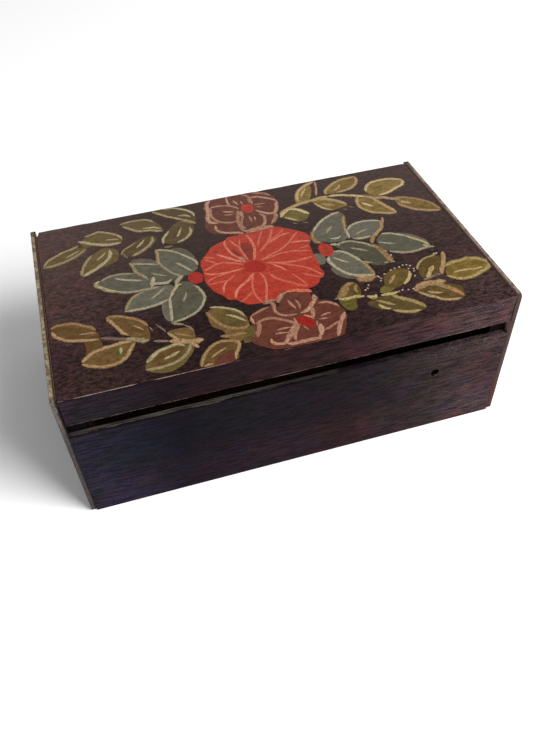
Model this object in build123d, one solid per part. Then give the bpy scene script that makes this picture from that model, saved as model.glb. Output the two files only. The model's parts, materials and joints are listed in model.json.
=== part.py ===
from build123d import *
import math
import os

# Small painted wooden box whose lid turns on two nails between thin end plates.
# Millimetres. Origin on the base in the middle of the box: +X right, -Y front, +Z up.

# Overall size, over the end plates
box_length = 220.0
box_depth = 132.0
box_height = 80.0

# Thickness of each board
plate_thick = 2.7
end_board_thick = 8.5
front_board_thick = 3.0
back_board_thick = 4.0
bottom_thick = 4.0
lid_thick = 5.0
lip_thick = 6.0

# Lid, rail and finger gap
lip_height = 16.2
finger_gap = 7.0
lid_end_gap = 0.4
lid_back_setback = 1.5
lid_back_ease = 1.2
lid_corner_clip = 1.0
lid_front_ease = 0.8
lip_bottom_ease = 0.5
stop_gap = 0.16

# Notch in the end boards that the rail drops into
notch_back_gap = 0.5
notch_floor_gap = 0.8

# Top back arris of the end boards, taken off so that the turning lid clears it
end_board_relief = 1.0

# Rebate in the end boards that the bottom is let into
rebate_depth = 4.0
panel_gap = 0.2

# Rounding of the end plates
plate_front_radius = 2.2
plate_back_radius = 1.2
plate_foot_radius = 2.0
plate_ease = 0.6

# Top edge of the front board, worn hollow by fingers, and the bored hole
worn_length = 124.0
worn_depth = 0.9
worn_middle = -42.0
front_edge_ease = 0.4
peg_hole_radius = 2.4
peg_hole_x = 70.8
peg_hole_z = 40.3

# Hinge pins
pin_radius = 0.8
pin_head_radius = 1.5
pin_head_thick = 0.7
pin_point = 1.5
pin_grip = 12.0
pin_clearance = 0.05

# Square cut brads, tapering from head to tip
brad_width = 1.2
brad_tip_width = 0.7
brad_head_width = 2.0
brad_head_thick = 0.5
front_brad_length = 14.0
back_brad_length = 14.0
bottom_brad_length = 12.0
plate_brad_length = 9.0
lip_brad_length = 18.0
brad_inset = 6.0
brad_low = 9.0
front_brad_top_margin = 14.2
back_brad_top_margin = 9.0
plate_brad_margin = 20.0
plate_brad_low = 14.0
plate_brad_top_margin = 20.0
bottom_brad_margin = 27.0
lip_brad_margin = 20.0
front_brad_rows = 3
back_brad_rows = 4
bottom_brad_rows = 3
lip_brad_count = 5

# Places that several pieces share
front_face = -box_depth / 2
back_face = box_depth / 2
plate_inner = box_length / 2 - plate_thick
board_inner = plate_inner - end_board_thick
front_board_back = front_face + front_board_thick
back_board_front = back_face - back_board_thick
lid_under = box_height - lid_thick
lip_under = box_height - lip_height
lip_back = front_face + lip_thick
front_board_top = lip_under - finger_gap
back_board_top = lid_under - stop_gap
lid_half_length = plate_inner - lid_end_gap
lid_back = back_face - lid_back_setback

# The pins lie in the middle of the lid board's thickness, as far from its back edge
pin_drop = lid_thick / 2
pin_y = lid_back - pin_drop
pin_z = box_height - pin_drop

# The eased top arris at the back of the lid comes down on the back board and stops the lid
stop_angle = 45 + math.degrees(
    math.asin((1 + stop_gap / (pin_drop - lid_back_ease)) / math.sqrt(2))
)

BACKWARDS = (0, 1, 0)
FORWARDS = (0, -1, 0)
DOWNWARDS = (0, 0, -1)


def spaced(low, high, count):
    """Evenly spaced places from low to high, both ends included."""
    step = (high - low) / (count - 1)
    return [low + step * index for index in range(count)]


def end_view(front, back, low, high):
    """Rectangle seen from the right-hand end: local X runs to the back, local Y runs up."""
    return Pos((front + back) / 2, (low + high) / 2) * Rectangle(back - front, high - low)


def round_corner(profile, corner, radius):
    """Round the corner of a flat profile that lies nearest to a point."""
    nearest = profile.vertices().sort_by_distance((corner[0], corner[1], 0))[0]
    return fillet(nearest, radius)


def board_along_x(profile, left, right):
    """Board that has the same end view all along X."""
    return extrude(Plane.YZ.offset(left) * profile, amount=right - left)


def block(x_range, y_range, z_range):
    """Plain block between two limits on each axis."""
    size = [high - low for low, high in (x_range, y_range, z_range)]
    middle = [(low + high) / 2 for low, high in (x_range, y_range, z_range)]
    return Pos(*middle) * Box(*size)


def square(width, level):
    """Square across the Z axis."""
    return Plane.XY.offset(level) * Rectangle(width, width)


def brad(length):
    """Cut brad with its head's face at the origin and its tip along -Z."""
    head = extrude(square(brad_head_width, 0), amount=-brad_head_thick)
    shank = loft([square(brad_width, -brad_head_thick), square(brad_tip_width, -length)])
    return head + shank


def round_pin(length):
    """Wire nail with its head's face at the origin and its point along -Z."""
    outline = Polyline(
        (0, 0),
        (pin_head_radius, 0),
        (pin_head_radius, -pin_head_thick),
        (pin_radius, -pin_head_thick),
        (pin_radius, pin_point - length),
        (0, -length),
        close=True,
    )
    return revolve(Plane.XZ * make_face(outline), Axis.Z)


def driven(nail, places, out):
    """Copies of a nail driven in at each place, with the heads facing out."""
    return [Plane(origin=place, z_dir=out) * nail for place in places]


def both_ends(places):
    """The places at the right-hand end, and their mirror images at the left."""
    return places + [(-x, y, z) for x, y, z in places]


def make_front_brads():
    x = plate_inner - brad_inset
    rows = spaced(brad_low, front_board_top - front_brad_top_margin, front_brad_rows)
    return driven(brad(front_brad_length), both_ends([(x, front_face, z) for z in rows]), FORWARDS)


def make_back_brads():
    x = plate_inner - brad_inset
    rows = spaced(brad_low, back_board_top - back_brad_top_margin, back_brad_rows)
    return driven(brad(back_brad_length), both_ends([(x, back_face, z) for z in rows]), BACKWARDS)


def make_bottom_brads():
    x = board_inner + rebate_depth / 2
    rows = spaced(front_face + bottom_brad_margin, back_face - bottom_brad_margin, bottom_brad_rows)
    return driven(brad(bottom_brad_length), both_ends([(x, y, 0) for y in rows]), DOWNWARDS)


def make_plate_brads(side):
    """Four brads through one end plate: side is 1 at the right and -1 at the left."""
    places = []
    for y in (front_face + plate_brad_margin, back_face - plate_brad_margin):
        for z in (plate_brad_low, box_height - plate_brad_top_margin):
            places.append((side * box_length / 2, y, z))
    return driven(brad(plate_brad_length), places, (side, 0, 0))


def make_lip_brads():
    reach = lid_half_length - lip_brad_margin
    columns = spaced(-reach, reach, lip_brad_count)
    return driven(brad(lip_brad_length), [(x, front_face, pin_z) for x in columns], FORWARDS)


def make_hinge_pin(side):
    """Nail that turns in the plate and grips in the end of the lid board."""
    pin = round_pin(plate_thick + lid_end_gap + pin_grip)
    return driven(pin, [(side * box_length / 2, pin_y, pin_z)], (side, 0, 0))[0]


def pin_bore(side):
    """Hole and head recess in the plate, with running clearance round the pin."""
    out = (side, 0, 0)
    face = Plane(origin=(side * box_length / 2, pin_y, pin_z), z_dir=out)
    sunk = (Align.CENTER, Align.CENTER, Align.MAX)
    hole = Cylinder(pin_radius + pin_clearance, plate_thick, align=sunk)
    recess = Cylinder(pin_head_radius + pin_clearance, pin_head_thick + pin_clearance, align=sunk)
    return face * (hole + recess)


def make_end_plate(side, brads):
    profile = end_view(front_face, back_face, 0, box_height)
    profile = round_corner(profile, (front_face, box_height), plate_front_radius)
    profile = round_corner(profile, (back_face, box_height), plate_back_radius)
    profile = round_corner(profile, (front_face, 0), plate_foot_radius)
    profile = round_corner(profile, (back_face, 0), plate_foot_radius)
    plate = board_along_x(profile, plate_inner, box_length / 2)
    plate = fillet(plate.faces().sort_by(Axis.X)[-1].edges(), plate_ease)
    if side < 0:
        plate = mirror(plate, Plane.YZ)
    return plate - pin_bore(side) - brads


def make_end_board(side, nails):
    """Inner end board, notched for the rail, relieved under the hinge, rebated for the bottom."""
    profile = end_view(front_board_back, back_board_front, 0, lid_under)
    top_back = profile.vertices().sort_by_distance((back_board_front, lid_under, 0))[0]
    profile = chamfer(top_back, end_board_relief)
    notch = end_view(
        front_board_back,
        lip_back + notch_back_gap,
        lip_under - notch_floor_gap,
        lid_under,
    )
    board = board_along_x(profile - notch, board_inner, plate_inner)
    board -= block(
        (board_inner, board_inner + rebate_depth),
        (front_board_back, back_board_front),
        (0, bottom_thick),
    )
    if side < 0:
        board = mirror(board, Plane.YZ)
    return board - nails


def worn_scoop():
    """Very flat cylinder that takes a long hollow out of the front board's top arris."""
    half = worn_length / 2
    radius = (half * half + worn_depth * worn_depth) / (2 * worn_depth)
    away = (radius - worn_depth) / math.sqrt(2)
    across = 2 * front_board_thick
    axis = Plane(
        origin=(worn_middle, front_face - away, front_board_top + away),
        x_dir=(1, 0, 0),
        z_dir=(0, 1, 1),
    )
    return axis * Cylinder(radius, across)


def make_front_board(brads):
    profile = end_view(front_face, front_board_back, 0, front_board_top)
    board = board_along_x(profile, -plate_inner, plate_inner)
    top_front = board.edges().filter_by(Axis.X).sort_by_distance((0, front_face, front_board_top))[0]
    board = chamfer(top_front, front_edge_ease)
    middle = (front_face + front_board_back) / 2
    hole = Pos(peg_hole_x, middle, peg_hole_z) * Rot(X=90) * Cylinder(peg_hole_radius, front_board_thick)
    return board - worn_scoop() - hole - brads


def make_back_board(brads):
    profile = end_view(back_board_front, back_face, 0, back_board_top)
    return board_along_x(profile, -plate_inner, plate_inner) - brads


def make_bottom_board(brads):
    half = board_inner + rebate_depth - panel_gap
    panel = block(
        (-half, half),
        (front_board_back + panel_gap, back_board_front - panel_gap),
        (0, bottom_thick),
    )
    return panel - brads


def clip_back_corners(board):
    """Take the two corners off the back edge of the lid, short of the pins."""
    across = pin_drop - pin_radius
    for side in (-1, 1):
        end = side * lid_half_length
        corner = make_face(
            Polyline(
                (end, lid_back),
                (end - side * lid_corner_clip, lid_back),
                (end, lid_back - across),
                close=True,
            )
        )
        board -= extrude(Plane.XY.offset(lid_under) * corner, amount=lid_thick)
    return board


def make_lid_board(nails):
    profile = end_view(lip_back, lid_back, lid_under, box_height)
    profile = round_corner(profile, (lid_back, lid_under), pin_drop)
    profile = round_corner(profile, (lid_back, box_height), lid_back_ease)
    board = board_along_x(profile, -lid_half_length, lid_half_length)
    return clip_back_corners(board) - nails


def make_lid_lip(brads):
    profile = end_view(front_face, lip_back, lip_under, box_height)
    profile = round_corner(profile, (front_face, box_height), lid_front_ease)
    profile = round_corner(profile, (front_face, lip_under), lip_bottom_ease)
    return board_along_x(profile, -lid_half_length, lid_half_length) - brads


def build_parts():
    """Every node by name: one solid each, or a list of the same fastener."""
    front_brads = make_front_brads()
    back_brads = make_back_brads()
    bottom_brads = make_bottom_brads()
    lip_brads = make_lip_brads()
    left_pin = make_hinge_pin(-1)
    right_pin = make_hinge_pin(1)
    left_plate_brads = make_plate_brads(-1)
    right_plate_brads = make_plate_brads(1)
    board_nails = front_brads + back_brads + bottom_brads
    return {
        "left_end_plate": make_end_plate(-1, left_plate_brads),
        "right_end_plate": make_end_plate(1, right_plate_brads),
        "left_end_board": make_end_board(-1, board_nails + left_plate_brads),
        "right_end_board": make_end_board(1, board_nails + right_plate_brads),
        "front_board": make_front_board(front_brads),
        "back_board": make_back_board(back_brads),
        "bottom_board": make_bottom_board(bottom_brads),
        "lid_board": make_lid_board(lip_brads + [left_pin, right_pin]),
        "lid_lip": make_lid_lip(lip_brads),
        "left_hinge_pin": left_pin,
        "right_hinge_pin": right_pin,
        "front_board_brads": Compound(front_brads),
        "back_board_brads": Compound(back_brads),
        "bottom_brads": Compound(bottom_brads),
        "left_plate_brads": Compound(left_plate_brads),
        "right_plate_brads": Compound(right_plate_brads),
        "lip_brads": Compound(lip_brads),
    }


def main():
    os.makedirs("parts", exist_ok=True)
    print("lid stops at", round(stop_angle, 2), "degrees")
    for name, shape in build_parts().items():
        export_step(shape, f"parts/{name}.step")
        print(name, "written")


main()
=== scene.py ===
# %% [markdown]
# A small old wooden box, painted almost black, with flowers and leaves painted on its lid. The packed
# model brings its boards at their real size. This lesson gives the boards their worn arrises and old
# paint, and paints the ornament stroke by stroke. The imported model is loaded first, because everything
# is placed by it.

# %% Load the imported boards
import json
import math
import random

import bmesh
import bpy
from mathutils import Matrix, Vector, noise


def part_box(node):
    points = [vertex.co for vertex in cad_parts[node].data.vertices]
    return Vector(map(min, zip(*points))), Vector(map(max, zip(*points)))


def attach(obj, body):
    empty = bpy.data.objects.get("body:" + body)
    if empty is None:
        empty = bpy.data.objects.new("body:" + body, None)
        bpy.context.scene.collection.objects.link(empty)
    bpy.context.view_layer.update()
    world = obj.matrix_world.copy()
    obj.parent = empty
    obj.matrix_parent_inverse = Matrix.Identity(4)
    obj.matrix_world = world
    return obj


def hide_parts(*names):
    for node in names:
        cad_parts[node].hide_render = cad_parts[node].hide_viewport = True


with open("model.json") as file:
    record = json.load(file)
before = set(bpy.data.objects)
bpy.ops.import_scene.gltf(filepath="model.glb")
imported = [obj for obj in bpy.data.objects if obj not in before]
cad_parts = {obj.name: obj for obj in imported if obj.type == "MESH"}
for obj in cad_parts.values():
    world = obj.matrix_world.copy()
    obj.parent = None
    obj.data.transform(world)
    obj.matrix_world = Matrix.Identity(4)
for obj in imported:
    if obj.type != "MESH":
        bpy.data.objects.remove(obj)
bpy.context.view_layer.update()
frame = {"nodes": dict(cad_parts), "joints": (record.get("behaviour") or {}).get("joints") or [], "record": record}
MM = 0.001
scene = bpy.context.scene


def board_limits(node):
    """Lowest and highest corner of a packed board, in millimetres."""
    low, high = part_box(node)
    return Vector(low) / MM, Vector(high) / MM


lid_low, lid_high = board_limits("lid_board")
lip_low, lip_high = board_limits("lid_lip")
front_low, front_high = board_limits("front_board")
back_low, back_high = board_limits("back_board")
plate_low, plate_high = board_limits("right_end_plate")

# %% [markdown]
# The camera stands where the photograph was taken from: above the box, a little to the left of its
# front, looking down steeply. A camera's turn could be set by three angles in the editor. Here its three
# axes are worked out from the direction that it looks in, because yaw, pitch and roll can then be read
# and changed one at a time. The lens comes from the focal length in the photograph's own pixels.

# %% Camera at the photograph's view
PHOTO_HEIGHT = 733
SENSOR = 36.0
camera_place = Vector((-70.05, -282.24, 292.85))
yaw = math.radians(14.897)
pitch = math.radians(47.642)
roll = math.radians(-2.604)
focal_pixels = 700.62
centre_row = 401.9

looking = Vector((math.sin(yaw) * math.cos(pitch), math.cos(yaw) * math.cos(pitch), -math.sin(pitch)))
level_right = looking.cross(Vector((0, 0, 1))).normalized()
level_up = level_right.cross(looking)
right = math.cos(roll) * level_right + math.sin(roll) * level_up
up = math.cos(roll) * level_up - math.sin(roll) * level_right

camera_data = bpy.data.cameras.new("camera")
camera_data.sensor_width = SENSOR
camera_data.lens = focal_pixels / PHOTO_HEIGHT * SENSOR
camera_data.shift_y = (centre_row - PHOTO_HEIGHT / 2) / PHOTO_HEIGHT
camera = bpy.data.objects.new("camera", camera_data)
scene.collection.objects.link(camera)
turn = Matrix((right, up, -looking)).transposed().to_4x4()
camera.matrix_world = Matrix.Translation(camera_place * MM) @ turn
bpy.context.scene.camera = camera
print("lens", round(camera_data.lens, 2), "mm")

# %% [markdown]
# Every material below is a small graph of nodes. Written out one by one the nodes would hide what a
# finish is, so a few helpers add a node, read a point's place in millimetres, and mix two colours.
# Colours are written as they look on screen and turned into the linear values that the shader needs.

# %% Helpers for any graph of nodes
def add(tree, kind, inputs=None, **settings):
    """One node, with its settings made and a value or another node's output in each input."""
    made = tree.nodes.new("ShaderNode" + kind)
    for name, value in settings.items():
        setattr(made, name, value)
    for socket, value in (inputs or {}).items():
        if isinstance(value, bpy.types.NodeSocket):
            tree.links.new(value, made.inputs[socket])
        else:
            made.inputs[socket].default_value = value
    return made


def arithmetic(tree, operation, first, second=0.0):
    """One step of arithmetic on one or two values."""
    return add(tree, "Math", {0: first, 1: second}, operation=operation).outputs[0]


def times(tree, first, *others):
    """Product of two or more values."""
    for other in others:
        first = arithmetic(tree, "MULTIPLY", first, other)
    return first


def plus(tree, first, *others):
    """Sum of two or more values."""
    for other in others:
        first = arithmetic(tree, "ADD", first, other)
    return first


def largest(tree, first, *others):
    """Largest of two or more values."""
    for other in others:
        first = arithmetic(tree, "MAXIMUM", first, other)
    return first


def step_up(tree, value, start, end, low=0.0, high=1.0):
    """Smooth climb from low to high as the value goes from start to end."""
    inputs = {"Value": value, 1: start, 2: end, 3: low, 4: high}
    return add(tree, "MapRange", inputs, interpolation_type="SMOOTHSTEP").outputs[0]


# %% Helpers for colours
def screen_colour(red, green, blue):
    """Linear colour of a colour given as 0 to 255 on screen."""
    linear = []
    for part in (red, green, blue):
        share = part / 255
        linear.append(share / 12.92 if share <= 0.04045 else ((share + 0.055) / 1.055) ** 2.4)
    return (*linear, 1.0)


def mixed(tree, share, first, second):
    """The first colour where the share is 0, and the second where it is 1."""
    inputs = {0: share, 6: first, 7: second}
    return add(tree, "Mix", inputs, data_type="RGBA").outputs[2]


def between(tree, share, first, second):
    """A mix as above, of two colours given as 0 to 255 on screen."""
    return mixed(tree, share, screen_colour(*first), screen_colour(*second))


def tinted(tree, colour, tint):
    """The colour with each of its three parts multiplied by the tint's."""
    return add(tree, "VectorMath", {0: colour, 1: tint}, operation="MULTIPLY").outputs[0]


def scaled(tree, colour, factor):
    """The colour made lighter or darker by a factor."""
    return add(tree, "VectorMath", {0: colour, "Scale": factor}, operation="SCALE").outputs[0]


# %% Helpers for patterns on the box
X, Y, Z = 0, 1, 2
LEFT, RIGHT = (-1, 0, 0), (1, 0, 0)
FRONT, BACK = (0, -1, 0), (0, 1, 0)
DOWN, UP = (0, 0, -1), (0, 0, 1)
NOISE_LOW, NOISE_HIGH = 0.3, 0.7


def place_in_mm(tree):
    """The point's place on the box, in millimetres."""
    place = add(tree, "TexCoord").outputs["Object"]
    return add(tree, "VectorMath", {0: place, "Scale": 1 / MM}, operation="SCALE").outputs[0]


def part_of(tree, place, axis):
    """The place's coordinate along an axis."""
    return add(tree, "SeparateXYZ", {0: place}).outputs[axis]


def along(tree, place, direction, start, end):
    """Share that climbs from 0 to 1 between two distances along a direction."""
    distance = add(tree, "VectorMath", {0: place, 1: direction}, operation="DOT_PRODUCT").outputs["Value"]
    return step_up(tree, distance, start, end)


def stretched_noise(tree, place, sizes, detail=3.0, shift=0.0):
    """Noise whose blotches have the given size in millimetres along X, Y and Z."""
    stretched = add(tree, "Mapping", {"Vector": place, "Scale": [1 / size for size in sizes]})
    stretched.inputs["Location"].default_value = (shift, shift, shift)
    inputs = {"Vector": stretched.outputs[0], "Scale": 1.0, "Detail": detail, "Roughness": 0.6}
    return add(tree, "TexNoise", inputs).outputs[0]


def even_noise(tree, place, size, detail=3.0, shift=0.0):
    """Noise whose blotches are as wide one way as another."""
    return stretched_noise(tree, place, (size, size, size), detail, shift)


def spread(tree, pattern, low, high):
    """A noise's usual range, spread smoothly from low to high."""
    return step_up(tree, pattern, NOISE_LOW, NOISE_HIGH, low, high)


# %% Helpers for a finished surface
PAINT_SHINE = 0.05


def finish_material(name, build):
    """New material whose surface the given function builds."""
    material = bpy.data.materials.new(name)
    material.use_nodes = True
    tree = material.node_tree
    tree.nodes.clear()
    add(tree, "OutputMaterial", {"Surface": build(tree)})
    return material


def coated(tree, colour, roughness, height, depth, shine=PAINT_SHINE):
    """Principled surface with a bump, the height given as a share and the depth in millimetres."""
    bump = add(tree, "Bump", {"Height": height, "Distance": depth * MM, "Strength": 1.0})
    inputs = {"Base Color": colour, "Roughness": roughness, "Normal": bump.outputs[0]}
    shader = add(tree, "BsdfPrincipled", inputs)
    shader.inputs["Specular IOR Level"].default_value = shine
    return shader.outputs[0]


# %% [markdown]
# The photograph has one soft light from the right that throws a grey shadow to the left on a white
# ground. A large area lamp gives a soft edge to that shadow, and the world's even light keeps it grey.
# The white of the ground and of the sky is for the eye alone: camera rays and the rays of gloss and
# glass see them brighter than they are, so they look white and no more light falls on the box.

# %% Lamp and sky
WINDOW_PLACE = Vector((1.92, -1.73, 1.88))
WINDOW_SIZE = 1.9
WINDOW_WATTS = 114.0
EVEN_LIGHT = 0.272
WHITE = (1.0, 1.0, 1.0, 1.0)
scene.view_settings.view_transform = "Standard"

window_data = bpy.data.lights.new("window", "AREA")
window_data.size = WINDOW_SIZE
window_data.energy = WINDOW_WATTS
window = bpy.data.objects.new("window", window_data)
scene.collection.objects.link(window)
window.location = WINDOW_PLACE
window.rotation_euler = (-WINDOW_PLACE).to_track_quat("-Z", "Y").to_euler()


def seen_by_eye(tree):
    """Share that is 1 for what the camera sees, also by gloss and through glass, and 0 for plain light."""
    path = add(tree, "LightPath").outputs
    return largest(tree, path["Is Camera Ray"], path["Is Transmission Ray"], path["Is Glossy Ray"])


world = bpy.data.worlds.new("even light")
scene.world = world
world.use_nodes = True
sky = world.node_tree
sky.nodes.clear()
strength = add(sky, "MapRange", {"Value": seen_by_eye(sky), "To Min": EVEN_LIGHT, "To Max": 1.0})
background = add(sky, "Background", {"Color": WHITE, "Strength": strength.outputs["Result"]})
add(sky, "OutputWorld", {0: background.outputs[0]})
print("lamps", [lamp.name for lamp in bpy.data.lights])

# %% Floor
FLOOR_REACH = 4.0
FLOOR_WHITE = (0.9, 0.9, 0.9, 1.0)
FLOOR_BRIGHT = (1.4, 1.4, 1.4, 1.0)


def build_floor(tree):
    """White floor that looks a little brighter than it is, and still takes the shadow."""
    white = add(tree, "BsdfDiffuse", {"Color": FLOOR_WHITE}).outputs[0]
    bright = add(tree, "BsdfDiffuse", {"Color": FLOOR_BRIGHT}).outputs[0]
    return add(tree, "MixShader", {0: seen_by_eye(tree), 1: white, 2: bright}).outputs[0]


floor_mesh = bpy.data.meshes.new("floor")
floor_bm = bmesh.new()
bmesh.ops.create_grid(floor_bm, x_segments=1, y_segments=1, size=FLOOR_REACH)
floor_bm.to_mesh(floor_mesh)
floor_bm.free()
floor = bpy.data.objects.new("floor", floor_mesh)
scene.collection.objects.link(floor)
floor.data.materials.append(finish_material("white floor", build_floor))
print("floor", floor.name)

# %% [markdown]
# The box is painted with a thin dark paint, plum and brown on the lid and blue-black at the left of the
# front. It has sunk into the grain, so fine streaks show through it, and it has clouded and reddened in
# patches. One function gives this colour for every board. A board gives the direction of its grain and
# its tint from its left to its right end, lighter or darker at places along the box.

# %% Tints of the old dark paint
GRAIN_ALONG_X = (7.0, 0.8, 0.8)
GRAIN_ALONG_Y = (0.8, 7.0, 0.8)
LID_GRAIN = (2.6, 1.2, 1.2)
LID_TINTS = [(-100.0, (63, 45, 43)), (-45.0, (38, 26, 24)), (25.0, (36, 24, 23)), (100.0, (52, 38, 36))]
LID_HUES = ((1.14, 1.0, 0.94), (1.08, 0.92, 1.14), (0.94, 1.08, 0.98))
RAIL_TINTS = [
    (-100.0, (33, 26, 33)),
    (-60.0, (22, 13, 18)),
    (-20.0, (33, 20, 22)),
    (20.0, (40, 23, 25)),
    (60.0, (56, 40, 39)),
    (100.0, (71, 56, 57)),
]
RAIL_HUES = ((1.2, 0.92, 0.92), (0.95, 0.9, 1.2), (0.92, 1.05, 0.95))
FRONT_TINTS = [
    (-100.0, (28, 27, 38)),
    (-60.0, (12, 10, 17)),
    (-20.0, (21, 16, 21)),
    (20.0, (23, 15, 18)),
    (50.0, (34, 26, 28)),
    (90.0, (56, 42, 42)),
]
FRONT_HUES = ((0.85, 0.95, 1.25), (1.25, 0.92, 1.0), (0.98, 1.1, 0.95))
print("tints on the lid", len(LID_TINTS), "on the rail", len(RAIL_TINTS), "on the front", len(FRONT_TINTS))

# %% Old dark paint
CLOUD_SIZES = (16.0, 10.0, 10.0)
CLOUD_SHIFTS = (0.0, 17.0, 43.0)
CLOUD_FROM, CLOUD_FULL = 0.42, 0.66
SPECK_SIZES = (0.8, 0.5, 0.5)


def tint_along_x(tree, place, tints):
    """Colour that changes along the box from one named tint to the next."""
    first, last = tints[0][0], tints[-1][0]
    share = add(tree, "MapRange", {"Value": part_of(tree, place, X), 1: first, 2: last}).outputs[0]
    ramp = add(tree, "ValToRGB", {0: share})
    marks = ramp.color_ramp.elements
    while len(marks) < len(tints):
        marks.new(0.5)
    for mark, (x, colour) in zip(marks, tints):
        mark.position = (x - first) / (last - first)
        mark.color = screen_colour(*colour)
    return ramp.outputs[0]


def dark_paint(tree, place, tints, hues, grain):
    """Colour of the dark paint: its tint, clouded in three hues, streaked along the grain and specked."""
    colour = tint_along_x(tree, place, tints)
    for shift, hue in zip(CLOUD_SHIFTS, hues):
        clouds = stretched_noise(tree, place, CLOUD_SIZES, 6.0, shift)
        clouded = step_up(tree, clouds, CLOUD_FROM, CLOUD_FULL)
        colour = tinted(tree, colour, mixed(tree, clouded, WHITE, (*hue, 1.0)))
    streaks = stretched_noise(tree, place, grain, 4.0, 3.0)
    specks = stretched_noise(tree, place, SPECK_SIZES, 4.0, 31.0)
    colour = scaled(tree, colour, spread(tree, streaks, 0.25, 1.92))
    return scaled(tree, colour, spread(tree, specks, 0.5, 1.6))


# %% The lid's fading, dust and painted sheen
# A pale colour that is partly dust and partly a painted sheen, thickening toward the back of the lid.
DUST_AND_SHEEN = screen_colour(158, 138, 128)
DUST_AND_SHEEN_SHARE = 0.12
FADE_SHARE = 0.6


def faded(tree, place, colour):
    """The lid's dark paint, darker at the front left and lighter at the front right."""
    to_right = plus(tree, along(tree, place, RIGHT, -90.0, 90.0), -0.5)
    change = times(tree, to_right, along(tree, place, FRONT, 5.0, 45.0), FADE_SHARE)
    return scaled(tree, colour, plus(tree, change, 1.0))


def dust_and_sheen_at_back(tree, place, colour):
    """The colour under a pale veil that thickens to the back of the lid: dust where hands don't rub it, and a
    painted sheen.
    """
    return mixed(tree, times(tree, along(tree, place, BACK, -50.0, 70.0), DUST_AND_SHEEN_SHARE), colour, DUST_AND_SHEEN)


def lid_detail(tree, place, colour):
    """The lid's dark paint, faded, and paler at the back with dust and a painted sheen."""
    return dust_and_sheen_at_back(tree, place, faded(tree, place, colour))


# %% [markdown]
# Hands have rubbed the paint off along the arrises. The bare wood there is a band whose sides are broken
# up by noise, so it comes and goes as real wear does. A band with a sharp side would look masked off.

# %% Painted wood with worn arrises
BARE_WOOD = screen_colour(150, 126, 92)
GREYED_WOOD = screen_colour(98, 91, 86)
HANDLED_PALE = screen_colour(152, 126, 114)
OLD_STAIN = screen_colour(60, 48, 40)
PAINT_RELIEF = 0.07
STAINED = 0.6
COARSE_WEAR, FINE_WEAR = 9.0, 0.8
FINE_WEAR_SHARE = 0.45
BARE_AT, BARE_FULLY = 1.12, 1.3


def rubbed_share(tree, place, band, rate, shift):
    """Share of bare wood in a band, broken up by coarse and fine noise."""
    uneven = even_noise(tree, place, COARSE_WEAR, 5.0, shift)
    fine = even_noise(tree, place, FINE_WEAR, 4.0, shift + 5.0)
    broken = plus(tree, times(tree, band, rate), uneven, times(tree, fine, FINE_WEAR_SHARE))
    worn_off = step_up(tree, broken, BARE_AT, BARE_FULLY)
    return times(tree, worn_off, step_up(tree, band, 0.0, 0.35))


def painted_wood(name, tints, hues, grain, wear=None, bare=BARE_WOOD, detail=None):
    """Material of a painted board, with functions for its share of bare wood and its paint's detail."""

    def build(tree):
        place = place_in_mm(tree)
        colour = dark_paint(tree, place, tints, hues, grain)
        if detail:
            colour = detail(tree, place, colour)
        fine = even_noise(tree, place, 0.7, 4.0, 11.0)
        streaks = stretched_noise(tree, place, grain, 3.0, 3.0)
        if wear:
            stained = mixed(tree, STAINED, bare, OLD_STAIN)
            aged = mixed(tree, step_up(tree, fine, 0.35, 0.7), bare, stained)
            colour = mixed(tree, wear(tree, place), colour, aged)
        roughness = step_up(tree, streaks, 0.3, 0.8, 0.55, 0.75)
        height = plus(tree, times(tree, streaks, 0.7), times(tree, fine, 0.5))
        return coated(tree, colour, roughness, height, PAINT_RELIEF)

    return finish_material(name, build)


# %% [markdown]
# Inside, the boards were never painted. Their wood has browned with age in broad bands, with darker
# streaks and pores along the grain and a few stains. Near the finger gap a second, dark colour lies over
# the wood as painted shade.

# %% Bare wood
WOOD_LIGHT = (84, 62, 44)
WOOD_DARK = (52, 38, 28)
BROWN_STAIN = screen_colour(50, 35, 26)
PORE_DARK = screen_colour(30, 21, 17)
WOOD_RELIEF = 0.12
BAND_WIDER, PORE_FINER = 6, 0.6
STAIN_SIZE = 26.0
SHADE_FROM = 18.0
SHADE_FULL = 6.0


def aged_wood(name, grain, light, dark, shade_share=None, dirt=None):
    """Material of an unpainted board, brown with age, and darkened with painted shade by the share that a function
    gives.
    """

    def build(tree):
        place = place_in_mm(tree)
        bands = stretched_noise(tree, place, [size * BAND_WIDER for size in grain], 4.0, 17.0)
        streaks = stretched_noise(tree, place, grain, 4.0, 13.0)
        stains = even_noise(tree, place, STAIN_SIZE, 4.0, 29.0)
        pores = stretched_noise(tree, place, [size * PORE_FINER for size in grain], 2.0, 41.0)
        both = plus(tree, times(tree, bands, 0.5), times(tree, streaks, 0.5))
        colour = between(tree, step_up(tree, both, 0.38, 0.62), dark, light)
        colour = mixed(tree, step_up(tree, stains, 0.5, 0.75, 0.0, 0.5), colour, BROWN_STAIN)
        colour = mixed(tree, step_up(tree, pores, 0.4, 0.25, 0.0, 0.6), colour, PORE_DARK)
        # The second colour is painted shade, mixed in by the share that a function gives.
        if shade_share:
            colour = mixed(tree, shade_share(tree, place), colour, screen_colour(*dirt))
        return coated(tree, colour, spread(tree, streaks, 0.62, 0.8), both, WOOD_RELIEF)

    return finish_material(name, build)


def shade_at_slot(tree, place):
    """Share of painted shade on what shows at the ends of the finger gap, the end boards and the plates."""
    return along(tree, place, FRONT, -front_low.y - SHADE_FROM, -front_low.y - SHADE_FULL)


inside_wood = aged_wood("wood inside, grain along the box", GRAIN_ALONG_X, WOOD_LIGHT, WOOD_DARK)
print("wood", inside_wood.name)

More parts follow.
